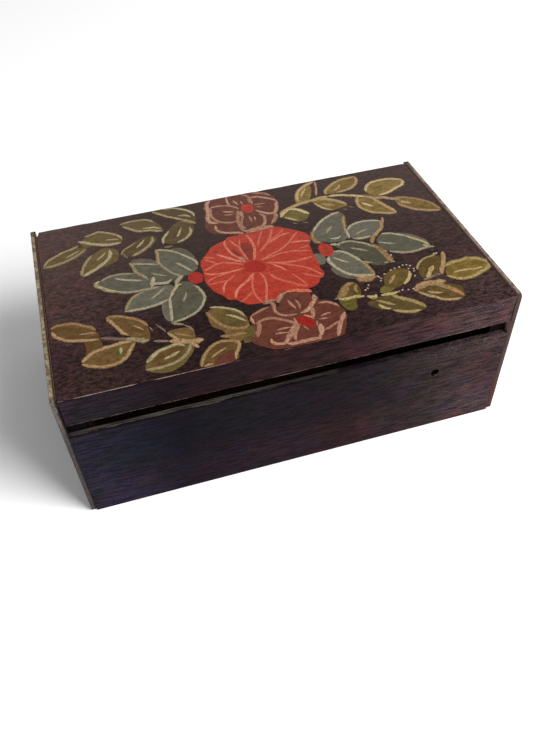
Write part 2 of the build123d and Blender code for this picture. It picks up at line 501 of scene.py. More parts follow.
# %% [markdown]
# A board is a box whose arrises have softened with a century of hands. A cube is made the board's size,
# its long edges are bevelled, and then it is cut across every few millimetres. Those cuts give each
# arris points of its own, which a noise pushes inward by parts of a millimetre. A modifier could do
# this too, but here each arris has to wear by its own amount.

# %% Helpers that shape a board
CUT_SPACING = 3.2
NICK_LENGTH = 9.0
FINE_RATE = 3.1
FINE_SHARE = 0.45
NICK_GAIN = 1.6
CLOSE_BY = 0.01
MERGE_WITHIN = 0.001


def box_bm(low, high):
    """Bmesh of a plain box between two corners, in millimetres."""
    bm = bmesh.new()
    middle = (low + high) / 2
    size = high - low
    fitted = Matrix.Translation(middle) @ Matrix.Diagonal((*size, 1.0))
    bmesh.ops.create_cube(bm, size=1.0, matrix=fitted)
    return bm


def near(value, place):
    """True where a coordinate is at a place, to within a hundredth of a millimetre."""
    return abs(value - place) < CLOSE_BY


def edges_where(bm, test):
    """Edges whose two ends both pass the test."""
    return [edge for edge in bm.edges if all(test(corner.co) for corner in edge.verts)]


def ring_of_edges(bm, corners):
    """Closed ring of edges from corner to corner."""
    return [bm.edges.new((corners[index - 1], corners[index])) for index in range(len(corners))]


def ease(bm, edges, width, segments=3):
    """Bevel some edges."""
    settings = {"offset": width, "segments": segments, "profile": 0.5, "material": -1}
    bmesh.ops.bevel(bm, geom=edges, affect="EDGES", clamp_overlap=True, **settings)


def cut_by_plane(bm, geometry, place, normal, clear_outer=False):
    """Cut some geometry by a plane, and give back the corners and edges that lie on the cut."""
    settings = {"plane_co": place, "plane_no": normal, "clear_outer": clear_outer, "dist": MERGE_WITHIN}
    return bmesh.ops.bisect_plane(bm, geom=geometry, **settings)["geom_cut"]


def cut_across(bm, axis, low, high, spacing):
    """Cut the board across at even steps along an axis, so that its arrises can vary."""
    count = max(1, round((high - low) / spacing))
    normal = Vector((0, 0, 0))
    normal[axis] = 1
    for index in range(1, count):
        place = normal * (low + (high - low) * index / count)
        cut_by_plane(bm, bm.verts[:] + bm.edges[:] + bm.faces[:], place, normal)


def wear_arris(bm, on_arris, inward, depth, seed):
    """Push the points of an arris inward by an uneven depth of at most the given one."""
    for corner in bm.verts:
        if on_arris(corner.co):
            along_it = corner.co / NICK_LENGTH + Vector((seed, seed, seed))
            nick = max(0.0, noise.noise(along_it) + FINE_SHARE * noise.noise(along_it * FINE_RATE))
            corner.co += Vector(inward) * (depth * min(1.0, nick * NICK_GAIN))


# %% Helpers that finish a piece
def make_piece(name, bm, materials, body, replaced=()):
    """Turn a bmesh in millimetres into a piece of the box that moves with a body."""
    bmesh.ops.scale(bm, vec=(MM, MM, MM), verts=bm.verts)
    mesh = bpy.data.meshes.new(name)
    bm.to_mesh(mesh)
    bm.free()
    for material in materials:
        mesh.materials.append(material)
    piece = bpy.data.objects.new(name, mesh)
    scene.collection.objects.link(piece)
    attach(piece, body)
    if replaced:
        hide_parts(*replaced)
    print(name, len(mesh.polygons), "faces")
    return piece


def give_material(piece, material, test):
    """Give one of a piece's materials to the faces that pass a test of their normal and place, in mm."""
    index = piece.data.materials.find(material.name)
    for face in piece.data.polygons:
        if test(face.normal, face.center / MM):
            face.material_index = index


# %% [markdown]
# The lid is one thin board. Its back edge is rounded about the pins that it turns on, and its back
# corners are nicked away, the left one further than the right. A bevel can't cut unequal legs, so a
# slanting plane slices each corner off and the cut is closed. The top lies a little under the plates'
# tops, which leaves room for the paint.

# %% Lid board
PAINT_ROOM = 0.15
BACK_ROUNDING = 2.4
BACK_TOP_EASE = 1.2
BACK_PART = 5.0
BACK_WEAR = 0.2
END_WEAR = 0.12
CLIPPED_CORNERS = ((-1, 1.1, 4.4), (1, 0.8, 2.6))
lid_top = lid_high.z - PAINT_ROOM


def slice_corner(bm, point, outward):
    """Cut off all that lies beyond a slanting upright plane, and close the cut."""
    cut = cut_by_plane(bm, bm.verts[:] + bm.edges[:] + bm.faces[:], point, outward, clear_outer=True)
    rim = [item for item in cut if isinstance(item, bmesh.types.BMEdge)]
    bmesh.ops.contextual_create(bm, geom=rim)


def lid_board_bm():
    """Lid board with its clipped corners, rounded back and worn arrises."""
    bm = box_bm(lid_low, Vector((lid_high.x, lid_high.y, lid_top)))
    for side, width, depth in CLIPPED_CORNERS:
        corner = Vector((side * lid_high.x, lid_high.y - depth, 0))
        slice_corner(bm, corner, Vector((side * depth, width, 0)).normalized())
    back_part = lid_high.y - BACK_PART
    ease(bm, edges_where(bm, lambda p: p.y > back_part and near(p.z, lid_low.z)), BACK_ROUNDING, 5)
    ease(bm, edges_where(bm, lambda p: p.y > back_part and near(p.z, lid_top)), BACK_TOP_EASE, 3)
    cut_across(bm, X, lid_low.x, lid_high.x, CUT_SPACING)
    cut_across(bm, Y, lid_low.y, lid_high.y, CUT_SPACING)
    at_back = lid_high.y - BACK_TOP_EASE
    wear_arris(bm, lambda p: p.y > at_back and p.z > lid_top - 1, (0, -0.7, -0.7), BACK_WEAR, 3.0)
    at_end = lid_high.x - CLOSE_BY
    wear_arris(bm, lambda p: abs(p.x) > at_end and near(p.z, lid_top), DOWN, END_WEAR, 9.0)
    return bm


def lid_wear(tree, place):
    """Broken line of bare wood along the lid's back arris."""
    reach = lid_high.y + lid_top
    return rubbed_share(tree, place, along(tree, place, (0, 1, 1), reach - 1.0, reach - 0.6), 0.4, 3.0)


lid_paint = painted_wood("lid paint", LID_TINTS, LID_HUES, LID_GRAIN, lid_wear, detail=lid_detail)
lid = make_piece(
    "painted_lid_board", lid_board_bm(), [lid_paint, inside_wood], "lid", ["lid_board"]
)
give_material(lid, inside_wood, lambda normal, place: normal.z < -0.7)

# %% [markdown]
# The rail under the lid's front edge is what the fingers lift. Its bottom arris is pale all along, as
# rubbed wood and a painted highlight, and the front arris of the lid shows a thin broken line of wood on
# the left half. The rail is its own board, as it is on the box, and its top lies level with the lid so
# that no joint shows.

# %% Front rail of the lid
LIP_TOP_EASE = 0.8
LIP_BOTTOM_EASE = 0.6
RAIL_SPACING = 2.0
RAIL_BOTTOM_WEAR = 0.12
RAIL_TOP_WEAR = 0.06


def lid_lip_bm():
    """Rail with an eased top arris and a bottom arris worn by fingers."""
    bm = box_bm(lip_low, Vector((lip_high.x, lip_high.y, lid_top)))
    ease(bm, edges_where(bm, lambda p: near(p.y, lip_low.y) and near(p.z, lid_top)), LIP_TOP_EASE, 4)
    ease(bm, edges_where(bm, lambda p: near(p.y, lip_low.y) and near(p.z, lip_low.z)), LIP_BOTTOM_EASE, 3)
    cut_across(bm, X, lip_low.x, lip_high.x, RAIL_SPACING)
    at_front = lip_low.y + 1
    low_front = lip_low.z + LIP_BOTTOM_EASE + CLOSE_BY
    wear_arris(bm, lambda p: p.z < low_front and p.y < at_front, (0, 0.6, 0.8), RAIL_BOTTOM_WEAR, 5.0)
    high_front = lid_top - LIP_TOP_EASE - CLOSE_BY
    wear_arris(bm, lambda p: p.z > high_front and p.y < at_front, (0, 0.7, -0.7), RAIL_TOP_WEAR, 8.0)
    return bm


arris_reach = -lip_low.y + lid_top
bottom_reach = -lip_low.y - lip_low.z


def rail_wear_and_highlight(tree, place):
    """Pale along the bottom arris, as rubbed wood and a painted highlight, and bare wood in a thin line along the
    left half of the top one.
    """
    top = along(tree, place, (0, -1, 1), arris_reach - 0.62, arris_reach - 0.42)
    left_half = along(tree, place, LEFT, -25.0, 25.0)
    line = rubbed_share(tree, place, times(tree, top, left_half), 0.86, 3.0)
    # The bottom arris's pale line is partly wear and partly a painted highlight.
    bottom = along(tree, place, (0, -1, -1), bottom_reach - 0.9, bottom_reach - 0.5)
    return largest(tree, line, rubbed_share(tree, place, bottom, 0.47, 9.0))


rail_paint = painted_wood("rail paint", RAIL_TINTS, RAIL_HUES, GRAIN_ALONG_X, rail_wear_and_highlight, HANDLED_PALE)
rail_top_paint = painted_wood(
    "rail top paint", LID_TINTS, LID_HUES, LID_GRAIN, rail_wear_and_highlight, HANDLED_PALE, lid_detail
)
rail_materials = [rail_paint, rail_top_paint, inside_wood]
rail = make_piece("painted_front_rail", lid_lip_bm(), rail_materials, "lid", ["lid_lip"])
give_material(rail, rail_top_paint, lambda normal, place: normal.z > 0.72)
give_material(rail, inside_wood, lambda normal, place: normal.y > 0.7)

# %% [markdown]
# The front board is fixed between the plates. It has one bored hole, and its top edge is worn hollow
# and bare at the left, where a finger goes in to lift the lid. The outline and the circle of the hole
# are filled as one flat face and pushed back by the board's thickness, which leaves the hole open. The
# top arris is then lowered by the depth of the wear at each place along it.

# %% Shape of the front board
hole = next(mount for mount in frame["record"]["mounts"] if mount["name"] == "peg_hole")
hole_place = Vector(hole["pos_m"]) / MM
hole_radius = hole["dims"]["r_mm"]
FACE_SETBACK = 0.05
HOLE_SIDES = 36
FRONT_SPACING = 2.2
FRONT_EASE = 0.4
WORN_BAND = 0.5
WORN_MIDDLE = -42.0
WORN_HALF = 62.0
WORN_DEPTH = 0.6
LESS_AT_BACK = 0.75
EDGE_ROUGHNESS = 0.1
face_y = front_low.y + FACE_SETBACK


def worn_depth(x):
    """How deep fingers have worn the top edge at a place along the front."""
    away = (x - WORN_MIDDLE) / WORN_HALF
    return WORN_DEPTH * max(0.0, 1 - away * away)


def front_board_bm():
    """Front board, filled round the hole, pushed back to its thickness and worn along the top."""
    bm = bmesh.new()
    steps = round((front_high.x - front_low.x) / FRONT_SPACING)
    top = [front_low.x + (front_high.x - front_low.x) * index / steps for index in range(steps + 1)]
    outline = [(x, face_y, front_high.z) for x in top]
    outline += [(x, face_y, front_low.z) for x in reversed(top)]
    ring_of_edges(bm, [bm.verts.new(place) for place in outline])
    quarter = Matrix.Rotation(math.radians(90), 4, "X")
    at_hole = Matrix.Translation((hole_place.x, face_y, hole_place.z)) @ quarter
    bmesh.ops.create_circle(bm, cap_ends=False, segments=HOLE_SIDES, radius=hole_radius, matrix=at_hole)
    bmesh.ops.triangle_fill(bm, use_beauty=True, use_dissolve=False, edges=bm.edges[:])
    pushed = bmesh.ops.extrude_face_region(bm, geom=bm.faces[:])
    moved = [item for item in pushed["geom"] if isinstance(item, bmesh.types.BMVert)]
    bmesh.ops.translate(bm, vec=(0, front_high.y - face_y, 0), verts=moved)
    bmesh.ops.recalc_face_normals(bm, faces=bm.faces)
    ease(bm, edges_where(bm, lambda p: near(p.y, face_y) and near(p.z, front_high.z)), FRONT_EASE, 2)
    for corner in bm.verts:
        if corner.co.z > front_high.z - WORN_BAND:
            back_share = (corner.co.y - face_y) / (front_high.y - face_y)
            rough = noise.noise(Vector((corner.co.x / NICK_LENGTH, back_share, 4.0))) * EDGE_ROUGHNESS
            worn = worn_depth(corner.co.x) * (1 - LESS_AT_BACK * back_share)
            corner.co.z -= max(0.0, worn + rough)
    return bm


print("hole", round(2 * hole_radius, 1), "mm across at x", round(hole_place.x, 1))

# %% [markdown]
# The wear on the front board follows the finger. The top edge is greyed wood, in wandering streaks that
# thin out to the right, and painted shade darkens the arris under it. The paint is warmer along the foot,
# chalky specks show under the right half of the gap, and the bored hole has a chipped rim and a wall
# darkened with painted shade, lighter on its lit side as painted light.

# %% Wear of the front board
# Colour of the painted shade along the worn top arris, under the finger gap.
ARRIS_SHADE = screen_colour(18, 13, 14)
CHALK = screen_colour(138, 126, 118)
CHIPPED = screen_colour(128, 114, 106)
FOOT_TINT = (2.0, 1.5, 1.5)
BARE_TO = 19.0
BARE_FADE = 3.0
# Dark painted shade and lighter painted light on the wall of the bored hole.
HOLE_TONES = ((8, 3, 4), (110, 88, 80))
HOLE_RELIEF = 0.05


def worn_end(tree, place):
    """Share that is 1 along the worn part of the front board, left of and a little past its middle."""
    return along(tree, place, LEFT, -BARE_TO - BARE_FADE, -BARE_TO + BARE_FADE)


def top_wear(tree, place):
    """Greyed wood on the top edge, from its back arris to about 1 mm behind the front."""
    wander = stretched_noise(tree, place, (12.0, 400.0, 400.0), 3.0, 2.0)
    depth = plus(tree, part_of(tree, place, Y), times(tree, wander, 4.0))
    inner = step_up(tree, depth, front_low.y + 2.7, front_low.y + 3.1)
    streaks = stretched_noise(tree, place, (18.0, 0.35, 0.35), 2.0, 6.0)
    streaky = step_up(tree, streaks, 0.44, 0.56, 0.2, 0.9)
    on_top = along(tree, place, UP, front_high.z - 1.1, front_high.z - 0.7)
    thinner = step_up(tree, along(tree, place, LEFT, -BARE_TO, 60.0), 0.0, 1.0, 0.45, 1.0)
    return times(tree, inner, streaky, on_top, worn_end(tree, place), thinner)


def hole_rim(tree, place):
    """Share of pale chips in a thin ring round the hole."""
    away = add(tree, "VectorMath", {0: place, 1: hole_place}, operation="DISTANCE").outputs["Value"]
    chips = even_noise(tree, place, 1.2, 4.0, 37.0)
    ring = step_up(tree, away, hole_radius + 0.8, hole_radius + 0.1)
    return times(tree, ring, step_up(tree, chips, 0.4, 0.6, 0.0, 0.6))


def warmer_foot(tree, place, colour):
    """The paint reddened along the foot but for its ends, and a little lighter at the right end."""
    foot = along(tree, place, DOWN, -34.0, -12.0)
    from_left = along(tree, place, RIGHT, -125.0, -80.0)
    to_right = along(tree, place, LEFT, -70.0, -20.0)
    colour = mixed(tree, times(tree, foot, from_left, to_right), colour, tinted(tree, colour, FOOT_TINT))
    right_foot = times(tree, foot, along(tree, place, RIGHT, 60.0, 105.0), 0.4)
    return scaled(tree, colour, plus(tree, right_foot, 1.0))


def chalky_near_slot(tree, place, colour):
    """The paint with chalky specks under the right half of the finger gap."""
    specks = step_up(tree, stretched_noise(tree, place, (1.8, 0.9, 0.9), 5.0, 51.0), 0.5, 0.74)
    near_slot = times(tree, along(tree, place, UP, 42.0, 55.0), along(tree, place, RIGHT, 40.0, 100.0))
    return mixed(tree, times(tree, near_slot, specks, 0.4), colour, CHALK)


def front_detail(tree, place, colour):
    """The front's paint with its warm foot, chalky specks, painted shade along the worn arris and pale hole rim.
    """
    colour = chalky_near_slot(tree, place, warmer_foot(tree, place, colour))
    # A line of painted shade along the worn arris, under the finger gap.
    under_edge = along(tree, place, UP, front_high.z - 1.4, front_high.z - 0.8)
    colour = mixed(tree, times(tree, under_edge, worn_end(tree, place), 0.85), colour, ARRIS_SHADE)
    return mixed(tree, hole_rim(tree, place), colour, CHIPPED)


def shaded_and_lit_hole(tree):
    """Wall of the hole, darkened with painted shade, and lighter on the side where light falls in, as painted
    light.
    """
    place = place_in_mm(tree)
    fine = even_noise(tree, place, 0.8, 3.0, 3.0)
    # The lighter side is painted light where the lamp reaches into the hole, and the rest is painted shade.
    lit_way = Vector((0.77, 0, -0.64))
    middle = hole_place.dot(lit_way)
    lit_side = along(tree, place, lit_way, middle + 0.5 * hole_radius, middle + 0.9 * hole_radius)
    mouth = along(tree, place, FRONT, -front_low.y - 1.4, -front_low.y - 0.4)
    colour = between(tree, times(tree, lit_side, mouth), *HOLE_TONES)
    return coated(tree, colour, 0.9, fine, HOLE_RELIEF)


# %% Front board
front_paint = painted_wood(
    "front paint", FRONT_TINTS, FRONT_HUES, GRAIN_ALONG_X, top_wear, GREYED_WOOD, front_detail
)
hole_shade_and_light = finish_material("painted shade and light in the hole", shaded_and_lit_hole)
front_materials = [front_paint, inside_wood, hole_shade_and_light]
front = make_piece(
    "painted_front_board", front_board_bm(), front_materials, "carcass", ["front_board"]
)


def in_hole(place):
    """True for a place on the wall of the bored hole."""
    return math.dist((place.x, place.z), (hole_place.x, hole_place.z)) < hole_radius


give_material(front, inside_wood, lambda normal, place: normal.y > 0.7)
give_material(front, hole_shade_and_light, lambda normal, place: in_hole(place))

# %% [markdown]
# A thin plate closes each end. Its outside is painted, but its edges have been handled bare, so at the
# top they are a speckled tan and at the front a greyer one, with dirt along the inner arris. The pin's
# hole and the recess for its head are four circles joined by bridges, and the two big faces are filled
# again round them. Both plates are shaped at the right, and the left one is then mirrored to its end.

# %% Shape of the end plates
PLATE_CORNERS = {(-1, 1): 2.2, (1, 1): 1.2, (-1, -1): 2.0, (1, -1): 2.0}
PLATE_SETBACK = 0.02
PLATE_EASE = 0.3
PLATE_ARRIS = 0.6
PLATE_TOP_WEAR = 0.15
PLATE_FRONT_WEAR = 0.12
PIN_SIDES = 24
pin_place = Vector(frame["joints"][0]["pos_m"]) / MM
PIN_HEAD_RADIUS = 1.55
PIN_HOLE_RADIUS = 0.85
PIN_RECESS_DEPTH = 0.75
print("pins at y", round(pin_place.y, 1), "z", round(pin_place.z, 1))


def rim_circle(bm, x, radius):
    """Ring of edges about the pin's line, at a place along X."""
    upright = Matrix.Translation((x, pin_place.y, pin_place.z)) @ Matrix.Rotation(math.radians(90), 4, "Y")
    made = bmesh.ops.create_circle(bm, cap_ends=False, segments=PIN_SIDES, radius=radius, matrix=upright)
    return list({edge for corner in made["verts"] for edge in corner.link_edges})


def fill_round(bm, x, circle):
    """Fill a big end face of the plate again, this time round a circle."""
    ends = [face for face in bm.faces if near(face.calc_center_median().x, x)]
    face = max(ends, key=lambda end: end.calc_area())
    rim = list(face.edges)
    bmesh.ops.delete(bm, geom=[face], context="FACES_ONLY")
    bmesh.ops.triangle_fill(bm, use_beauty=True, use_dissolve=False, edges=rim + circle)


def end_plate_bm(side):
    """End plate with rounded corners, an eased outside and the hole of its pin."""
    outer = plate_high.x - PLATE_SETBACK
    bm = box_bm(plate_low, Vector((outer, plate_high.y, plate_high.z)))
    for (to_back, to_top), radius in PLATE_CORNERS.items():
        at_y = plate_high.y * to_back
        at_z = plate_high.z if to_top > 0 else plate_low.z
        ease(bm, edges_where(bm, lambda p: near(p.y, at_y) and near(p.z, at_z)), radius, 4)
    ease(bm, edges_where(bm, lambda p: near(p.x, outer)), PLATE_EASE, 2)
    recess = rim_circle(bm, outer, PIN_HEAD_RADIUS)
    step_out = rim_circle(bm, outer - PIN_RECESS_DEPTH, PIN_HEAD_RADIUS)
    step_in = rim_circle(bm, outer - PIN_RECESS_DEPTH, PIN_HOLE_RADIUS)
    inner = rim_circle(bm, plate_low.x, PIN_HOLE_RADIUS)
    for first, second in ((recess, step_out), (step_out, step_in), (step_in, inner)):
        bmesh.ops.bridge_loops(bm, edges=first + second)
    fill_round(bm, outer, recess)
    fill_round(bm, plate_low.x, inner)
    cut_across(bm, Y, plate_low.y, plate_high.y, CUT_SPACING)
    cut_across(bm, Z, plate_low.z, plate_high.z, CUT_SPACING)
    wear_arris(bm, lambda p: p.z > plate_high.z - PLATE_ARRIS, DOWN, PLATE_TOP_WEAR, 21.0 + side)
    wear_arris(bm, lambda p: p.y < plate_low.y + PLATE_ARRIS, BACK, PLATE_FRONT_WEAR, 31.0 + side)
    if side < 0:
        bmesh.ops.scale(bm, vec=(-1, 1, 1), verts=bm.verts)
    bmesh.ops.recalc_face_normals(bm, faces=bm.faces)
    return bm


# %% [markdown]
# A plate's edge is one material that changes with the place on the box: rosier on the right plate, grey
# and darker down the front, grey again at the back. Where the inside of a plate shows in the seam beside
# the lid it is pale with dust and painted light, and at the right end of the finger gap its corner is
# painted pale as light falling on it.

# %% Finish of the end plates
EDGE_GREY = screen_colour(100, 99, 92)
EDGE_RED = screen_colour(98, 54, 52)
EDGE_RIGHT = screen_colour(88, 70, 68)
EDGE_SPECK = screen_colour(60, 48, 38)
TAN_TONES = ((176, 158, 130), (120, 106, 82))
ROSE_TONES = ((166, 148, 132), (120, 102, 92))
FRONT_TONES = ((112, 104, 98), (78, 74, 71))
LEFT_DIRT = ((60, 42, 38), (34, 30, 32))
RIGHT_DIRT = ((84, 66, 60), (72, 55, 51))
# Pale tones of the seam wall: dust and painted light on a surface that lies in shade.
SEAM_LIGHT_TONES = ((170, 140, 112), (168, 134, 120))
EDGE_RELIEF = 0.2
SEAM_RELIEF = 0.1
SEAM_DEPTH = 3.3
slot_low = front_high.z - 1.8
slot_high = lip_low.z + 0.2


def at_right_plate(tree, place):
    """Share that is 0 on the left plate and 1 on the right one."""
    return along(tree, place, RIGHT, -5.0, 5.0)


def handled_tone(tree, place, mottle):
    """Tan of the left plate's edge and rose of the right one's, mottled."""
    patchy = step_up(tree, mottle, 0.42, 0.6)
    tan = between(tree, patchy, *TAN_TONES)
    rose = between(tree, patchy, *ROSE_TONES)
    return mixed(tree, at_right_plate(tree, place), tan, rose)


def front_edge_tone(tree, place, right_end):
    """Grey of a plate's front edge, darker lower down, and at the right end browner and red at the foot."""
    grey = between(tree, along(tree, place, DOWN, -72.0, -52.0), *FRONT_TONES)
    grey = mixed(tree, right_end, grey, EDGE_RIGHT)
    reddish = times(tree, right_end, along(tree, place, DOWN, -30.0, -16.0))
    return mixed(tree, reddish, grey, EDGE_RED)


def plate_edge(tree):
    """Handled edge of a plate: speckled, greyer at the front, and with grime along the inner arris."""
    place = place_in_mm(tree)
    fine = even_noise(tree, place, 0.9, 4.0, 3.0)
    mottle = stretched_noise(tree, place, (2.6, 3.4, 3.4), 4.0, 8.0)
    front_part = along(tree, place, FRONT, -plate_low.y - 2.5, -plate_low.y - 0.8)
    right_end = at_right_plate(tree, place)
    colour = handled_tone(tree, place, mottle)
    colour = mixed(tree, front_part, colour, front_edge_tone(tree, place, right_end))
    colour = mixed(tree, along(tree, place, BACK, 60.5, 62.5), colour, EDGE_GREY)
    colour = mixed(tree, step_up(tree, fine, 0.48, 0.38, 0.0, 0.8), colour, EDGE_SPECK)
    from_middle = arithmetic(tree, "ABSOLUTE", part_of(tree, place, X))
    ragged = plus(tree, from_middle, times(tree, mottle, 1.2))
    left_dirt = between(tree, front_part, *LEFT_DIRT)
    right_dirt = between(tree, front_part, *RIGHT_DIRT)
    dirt = mixed(tree, right_end, left_dirt, right_dirt)
    colour = mixed(tree, step_up(tree, ragged, plate_low.x + 1.7, plate_low.x + 1.1), colour, dirt)
    return coated(tree, colour, spread(tree, mottle, 0.6, 0.78), fine, EDGE_RELIEF)


def lit_dusty_seam(tree):
    """Inside of a plate's top, pale with dust and old varnish in the seam and with painted light, and the same
    pale finish stands for light at the right end of the finger gap.
    """
    place = place_in_mm(tree)
    fine = even_noise(tree, place, 1.5, 4.0, 5.0)
    colour = between(tree, at_right_plate(tree, place), *SEAM_LIGHT_TONES)
    colour = scaled(tree, colour, spread(tree, fine, 0.75, 1.2))
    return coated(tree, colour, 0.85, fine, SEAM_RELIEF)


# %% End plates
# Near-black painted shade on the plates' inner faces near the finger gap.
PLATE_GAP_SHADE = (16, 8, 10)
SIDEWAYS = 0.8
plate_paint = painted_wood("plate paint", FRONT_TINTS, FRONT_HUES, GRAIN_ALONG_Y)
edge_wood = finish_material("handled plate edge", plate_edge)
plate_wood = aged_wood(
    "wood inside the plates", GRAIN_ALONG_Y, WOOD_LIGHT, WOOD_DARK, shade_at_slot, PLATE_GAP_SHADE
)
lit_dusty_seam_material = finish_material("dust and painted light in the seam", lit_dusty_seam)
plate_materials = [plate_paint, edge_wood, plate_wood, lit_dusty_seam_material]


def painted_light_inside(side, place):
    """True where the inside of a plate shows in the seam, and at the right end of the finger gap, where its pale
    finish is painted light.
    """
    # At the right end of the finger gap the pale finish is painted light on the plate's lit inner corner.
    at_gap = side > 0 and place.y < front_high.y and slot_low < place.z < slot_high
    return at_gap or place.z >= plate_high.z - SEAM_DEPTH


for side, word in ((-1, "left"), (1, "right")):
    node = f"{word}_end_plate"
    name = f"painted_{word}_plate"
    plate = make_piece(name, end_plate_bm(side), plate_materials, "carcass", [node])
    give_material(plate, edge_wood, lambda normal, place: abs(normal.x) < SIDEWAYS)
    give_material(plate, plate_wood, lambda normal, place: normal.x * side < -SIDEWAYS)
    give_material(
        plate, lit_dusty_seam_material, lambda normal, place: normal.x * side < -SIDEWAYS and painted_light_inside(side, place)
    )

# %% [markdown]
# The back board is painted like the front. Nothing touches it but the lid, which leans on its top edge
# when it is open, so the outer arris of that edge is rubbed and a little softened.

# %% Back board
BACK_EASE = 0.3
BACK_BOARD_WEAR = 0.25


def back_board_bm():
    """Back board whose top outer arris is eased and worn."""
    bm = box_bm(back_low, Vector((back_high.x, back_high.y - FACE_SETBACK, back_high.z)))
    ease(bm, edges_where(bm, lambda p: p.y > back_high.y - 0.1 and p.z > back_high.z - 0.1), BACK_EASE, 2)
    cut_across(bm, X, back_low.x, back_high.x, CUT_SPACING)
    at_back = back_high.y - 1
    at_top = back_high.z - 0.4
    wear_arris(bm, lambda p: p.z > at_top and p.y > at_back, (0, -0.7, -0.7), BACK_BOARD_WEAR, 44.0)
    return bm


def back_wear(tree, place):
    """Bare wood along the top outer arris of the back board."""
    reach = back_high.y + back_high.z
    return rubbed_share(tree, place, along(tree, place, (0, 1, 1), reach - 1.2, reach - 0.7), 0.5, 13.0)


back_paint = painted_wood("back paint", FRONT_TINTS, FRONT_HUES, GRAIN_ALONG_X, back_wear)
back_materials = [back_paint, inside_wood]
back = make_piece(
    "painted_back_board", back_board_bm(), back_materials, "carcass", ["back_board"]
)
give_material(back, inside_wood, lambda normal, place: normal.y < -0.7 or normal.z > 0.9)

# %% [markdown]
# The end boards, the bottom and the nails keep their imported shapes, which are already those of the real
# ones. They only need their finish: wood that has browned with age, darkened with painted shade near the
# finger gap, and rusty iron. The nails in the front and the rail were painted over with the boards, so
# they take the same paint and all but vanish.

# %% Wood inside and iron
END_GRAIN = (0.6, 6.0, 0.6)
# Near-black painted shade on each end board near the finger gap.
END_BOARD_GAP_SHADE = {"left": (6, 4, 5), "right": (15, 6, 9)}
BOTTOM_LIGHT = (78, 58, 42)
BOTTOM_DARK = (48, 35, 27)
IRON_TONES = ((58, 50, 48), (104, 62, 40))
IRON_RELIEF = 0.05
IRON_SHINE = 0.5


def rusty_iron(tree):
    """Dark iron of the nails, rusted in patches."""
    place = place_in_mm(tree)
    patches = even_noise(tree, place, 0.8, 4.0, 6.0)
    colour = between(tree, step_up(tree, patches, 0.42, 0.62), *IRON_TONES)
    roughness = step_up(tree, patches, 0.4, 0.6, 0.45, 0.8)
    return coated(tree, colour, roughness, patches, IRON_RELIEF, IRON_SHINE)


def dress(node, material):
    """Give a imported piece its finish."""
    for slot in frame["nodes"][node].material_slots:
        slot.material = material


# Each end board takes its near-black painted shade near the finger gap.
for word, dirt in END_BOARD_GAP_SHADE.items():
    name = f"{word} end board wood"
    dress(f"{word}_end_board", aged_wood(name, END_GRAIN, WOOD_LIGHT, WOOD_DARK, shade_at_slot, dirt))
dress("bottom_board", aged_wood("bottom wood", GRAIN_ALONG_X, BOTTOM_LIGHT, BOTTOM_DARK))
iron = finish_material("rusty iron", rusty_iron)
painted_over = {"front_board_brads": front_paint, "lip_brads": rail_paint}
for node in frame["nodes"]:
    if node.endswith(("_brads", "_pin")):
        dress(node, painted_over.get(node, iron))
print("packed pieces dressed", sum(1 for node in frame["nodes"].values() if not node.hide_render))

# %% [markdown]
# The ornament was painted by hand with a round brush: first flat patches of colour for leaves and
# petals, then pale outlines that follow them loosely, then a few short dabs for the midribs. A picture
# laid over the lid would be quicker, but a stroke that is a thin raised ribbon keeps its edge from
# close by, and its bristle marks can run along it. Both kinds of mark start as a smooth path through a
# few places on the lid, and both follow the lid's height, over its rounded arrises too.

# %% Smooth paths over the lid
FRONT_CURVE = lip_low.y + LIP_TOP_EASE
BACK_CURVE = lid_high.y - BACK_TOP_EASE
CURVE_END = 0.97


def read_points(text):
    """Points written as "x y, x y", in millimetres on the lid."""
    return [tuple(float(part) for part in pair.split()) for pair in text.split(",")]


def curve_between(before, start, end, after, share):
    """Point of a smooth curve that passes through start and end."""
    square, cube = share * share, share**3
    weights = (
        (-cube + 2 * square - share) / 2,
        (3 * cube - 5 * square + 2) / 2,
        (-3 * cube + 4 * square + share) / 2,
        (cube - square) / 2,
    )
    four = (before, start, end, after)
    return tuple(sum(weight * point[axis] for weight, point in zip(weights, four)) for axis in (0, 1))


def smooth_path(points, closed, spacing):
    """Evenly spaced points on the smooth curve through some points."""
    count = len(points)
    spans = count if closed else count - 1
    path = []
    for index in range(spans):
        start, end = points[index], points[(index + 1) % count]
        before = points[index - 1] if closed or index > 0 else start
        after = points[(index + 2) % count] if closed or index + 2 < count else end
        steps = max(2, round(math.dist(start, end) / spacing))
        path += [curve_between(before, start, end, after, step / steps) for step in range(steps)]
    return path if closed else path + [points[-1]]


def surface_height(y):
    """Height of the lid's painted top, over its rounded front and back arrises too."""
    front_beyond = FRONT_CURVE - y
    back_beyond = y - BACK_CURVE
    for beyond, radius in ((front_beyond, LIP_TOP_EASE), (back_beyond, BACK_TOP_EASE)):
        if beyond > 0:
            reach = min(beyond, radius * CURVE_END)
            return lid_top - radius + math.sqrt(radius * radius - reach * reach)
    return lid_top


print("flat part of the lid", round(BACK_CURVE - FRONT_CURVE, 1), "mm deep")

# %% [markdown]
# A patch is a smooth outline, a little shaky as a hand is, filled flat and laid on the lid. Its rim is
# set apart by an inset, so that its paint can be feathered there. Each mark lies a hair above the one
# before, as real coats do, which also keeps two marks from lying at one height.

# %% Patches of paint
PATCH_STEP = 0.9
PATCH_HEIGHT = 0.02
PATCH_RIM = 1.1
LAYER_STEP = 0.00029
SHAKE = 0.28
SHAKE_LENGTH = 2.5
CURVE_SHARES = (0, 0.4, 0.7)
CURVE_CUTS = [FRONT_CURVE - LIP_TOP_EASE * share for share in CURVE_SHARES]
CURVE_CUTS += [BACK_CURVE + BACK_TOP_EASE * share for share in CURVE_SHARES]
brush = random.Random(11)
layers_painted = 0


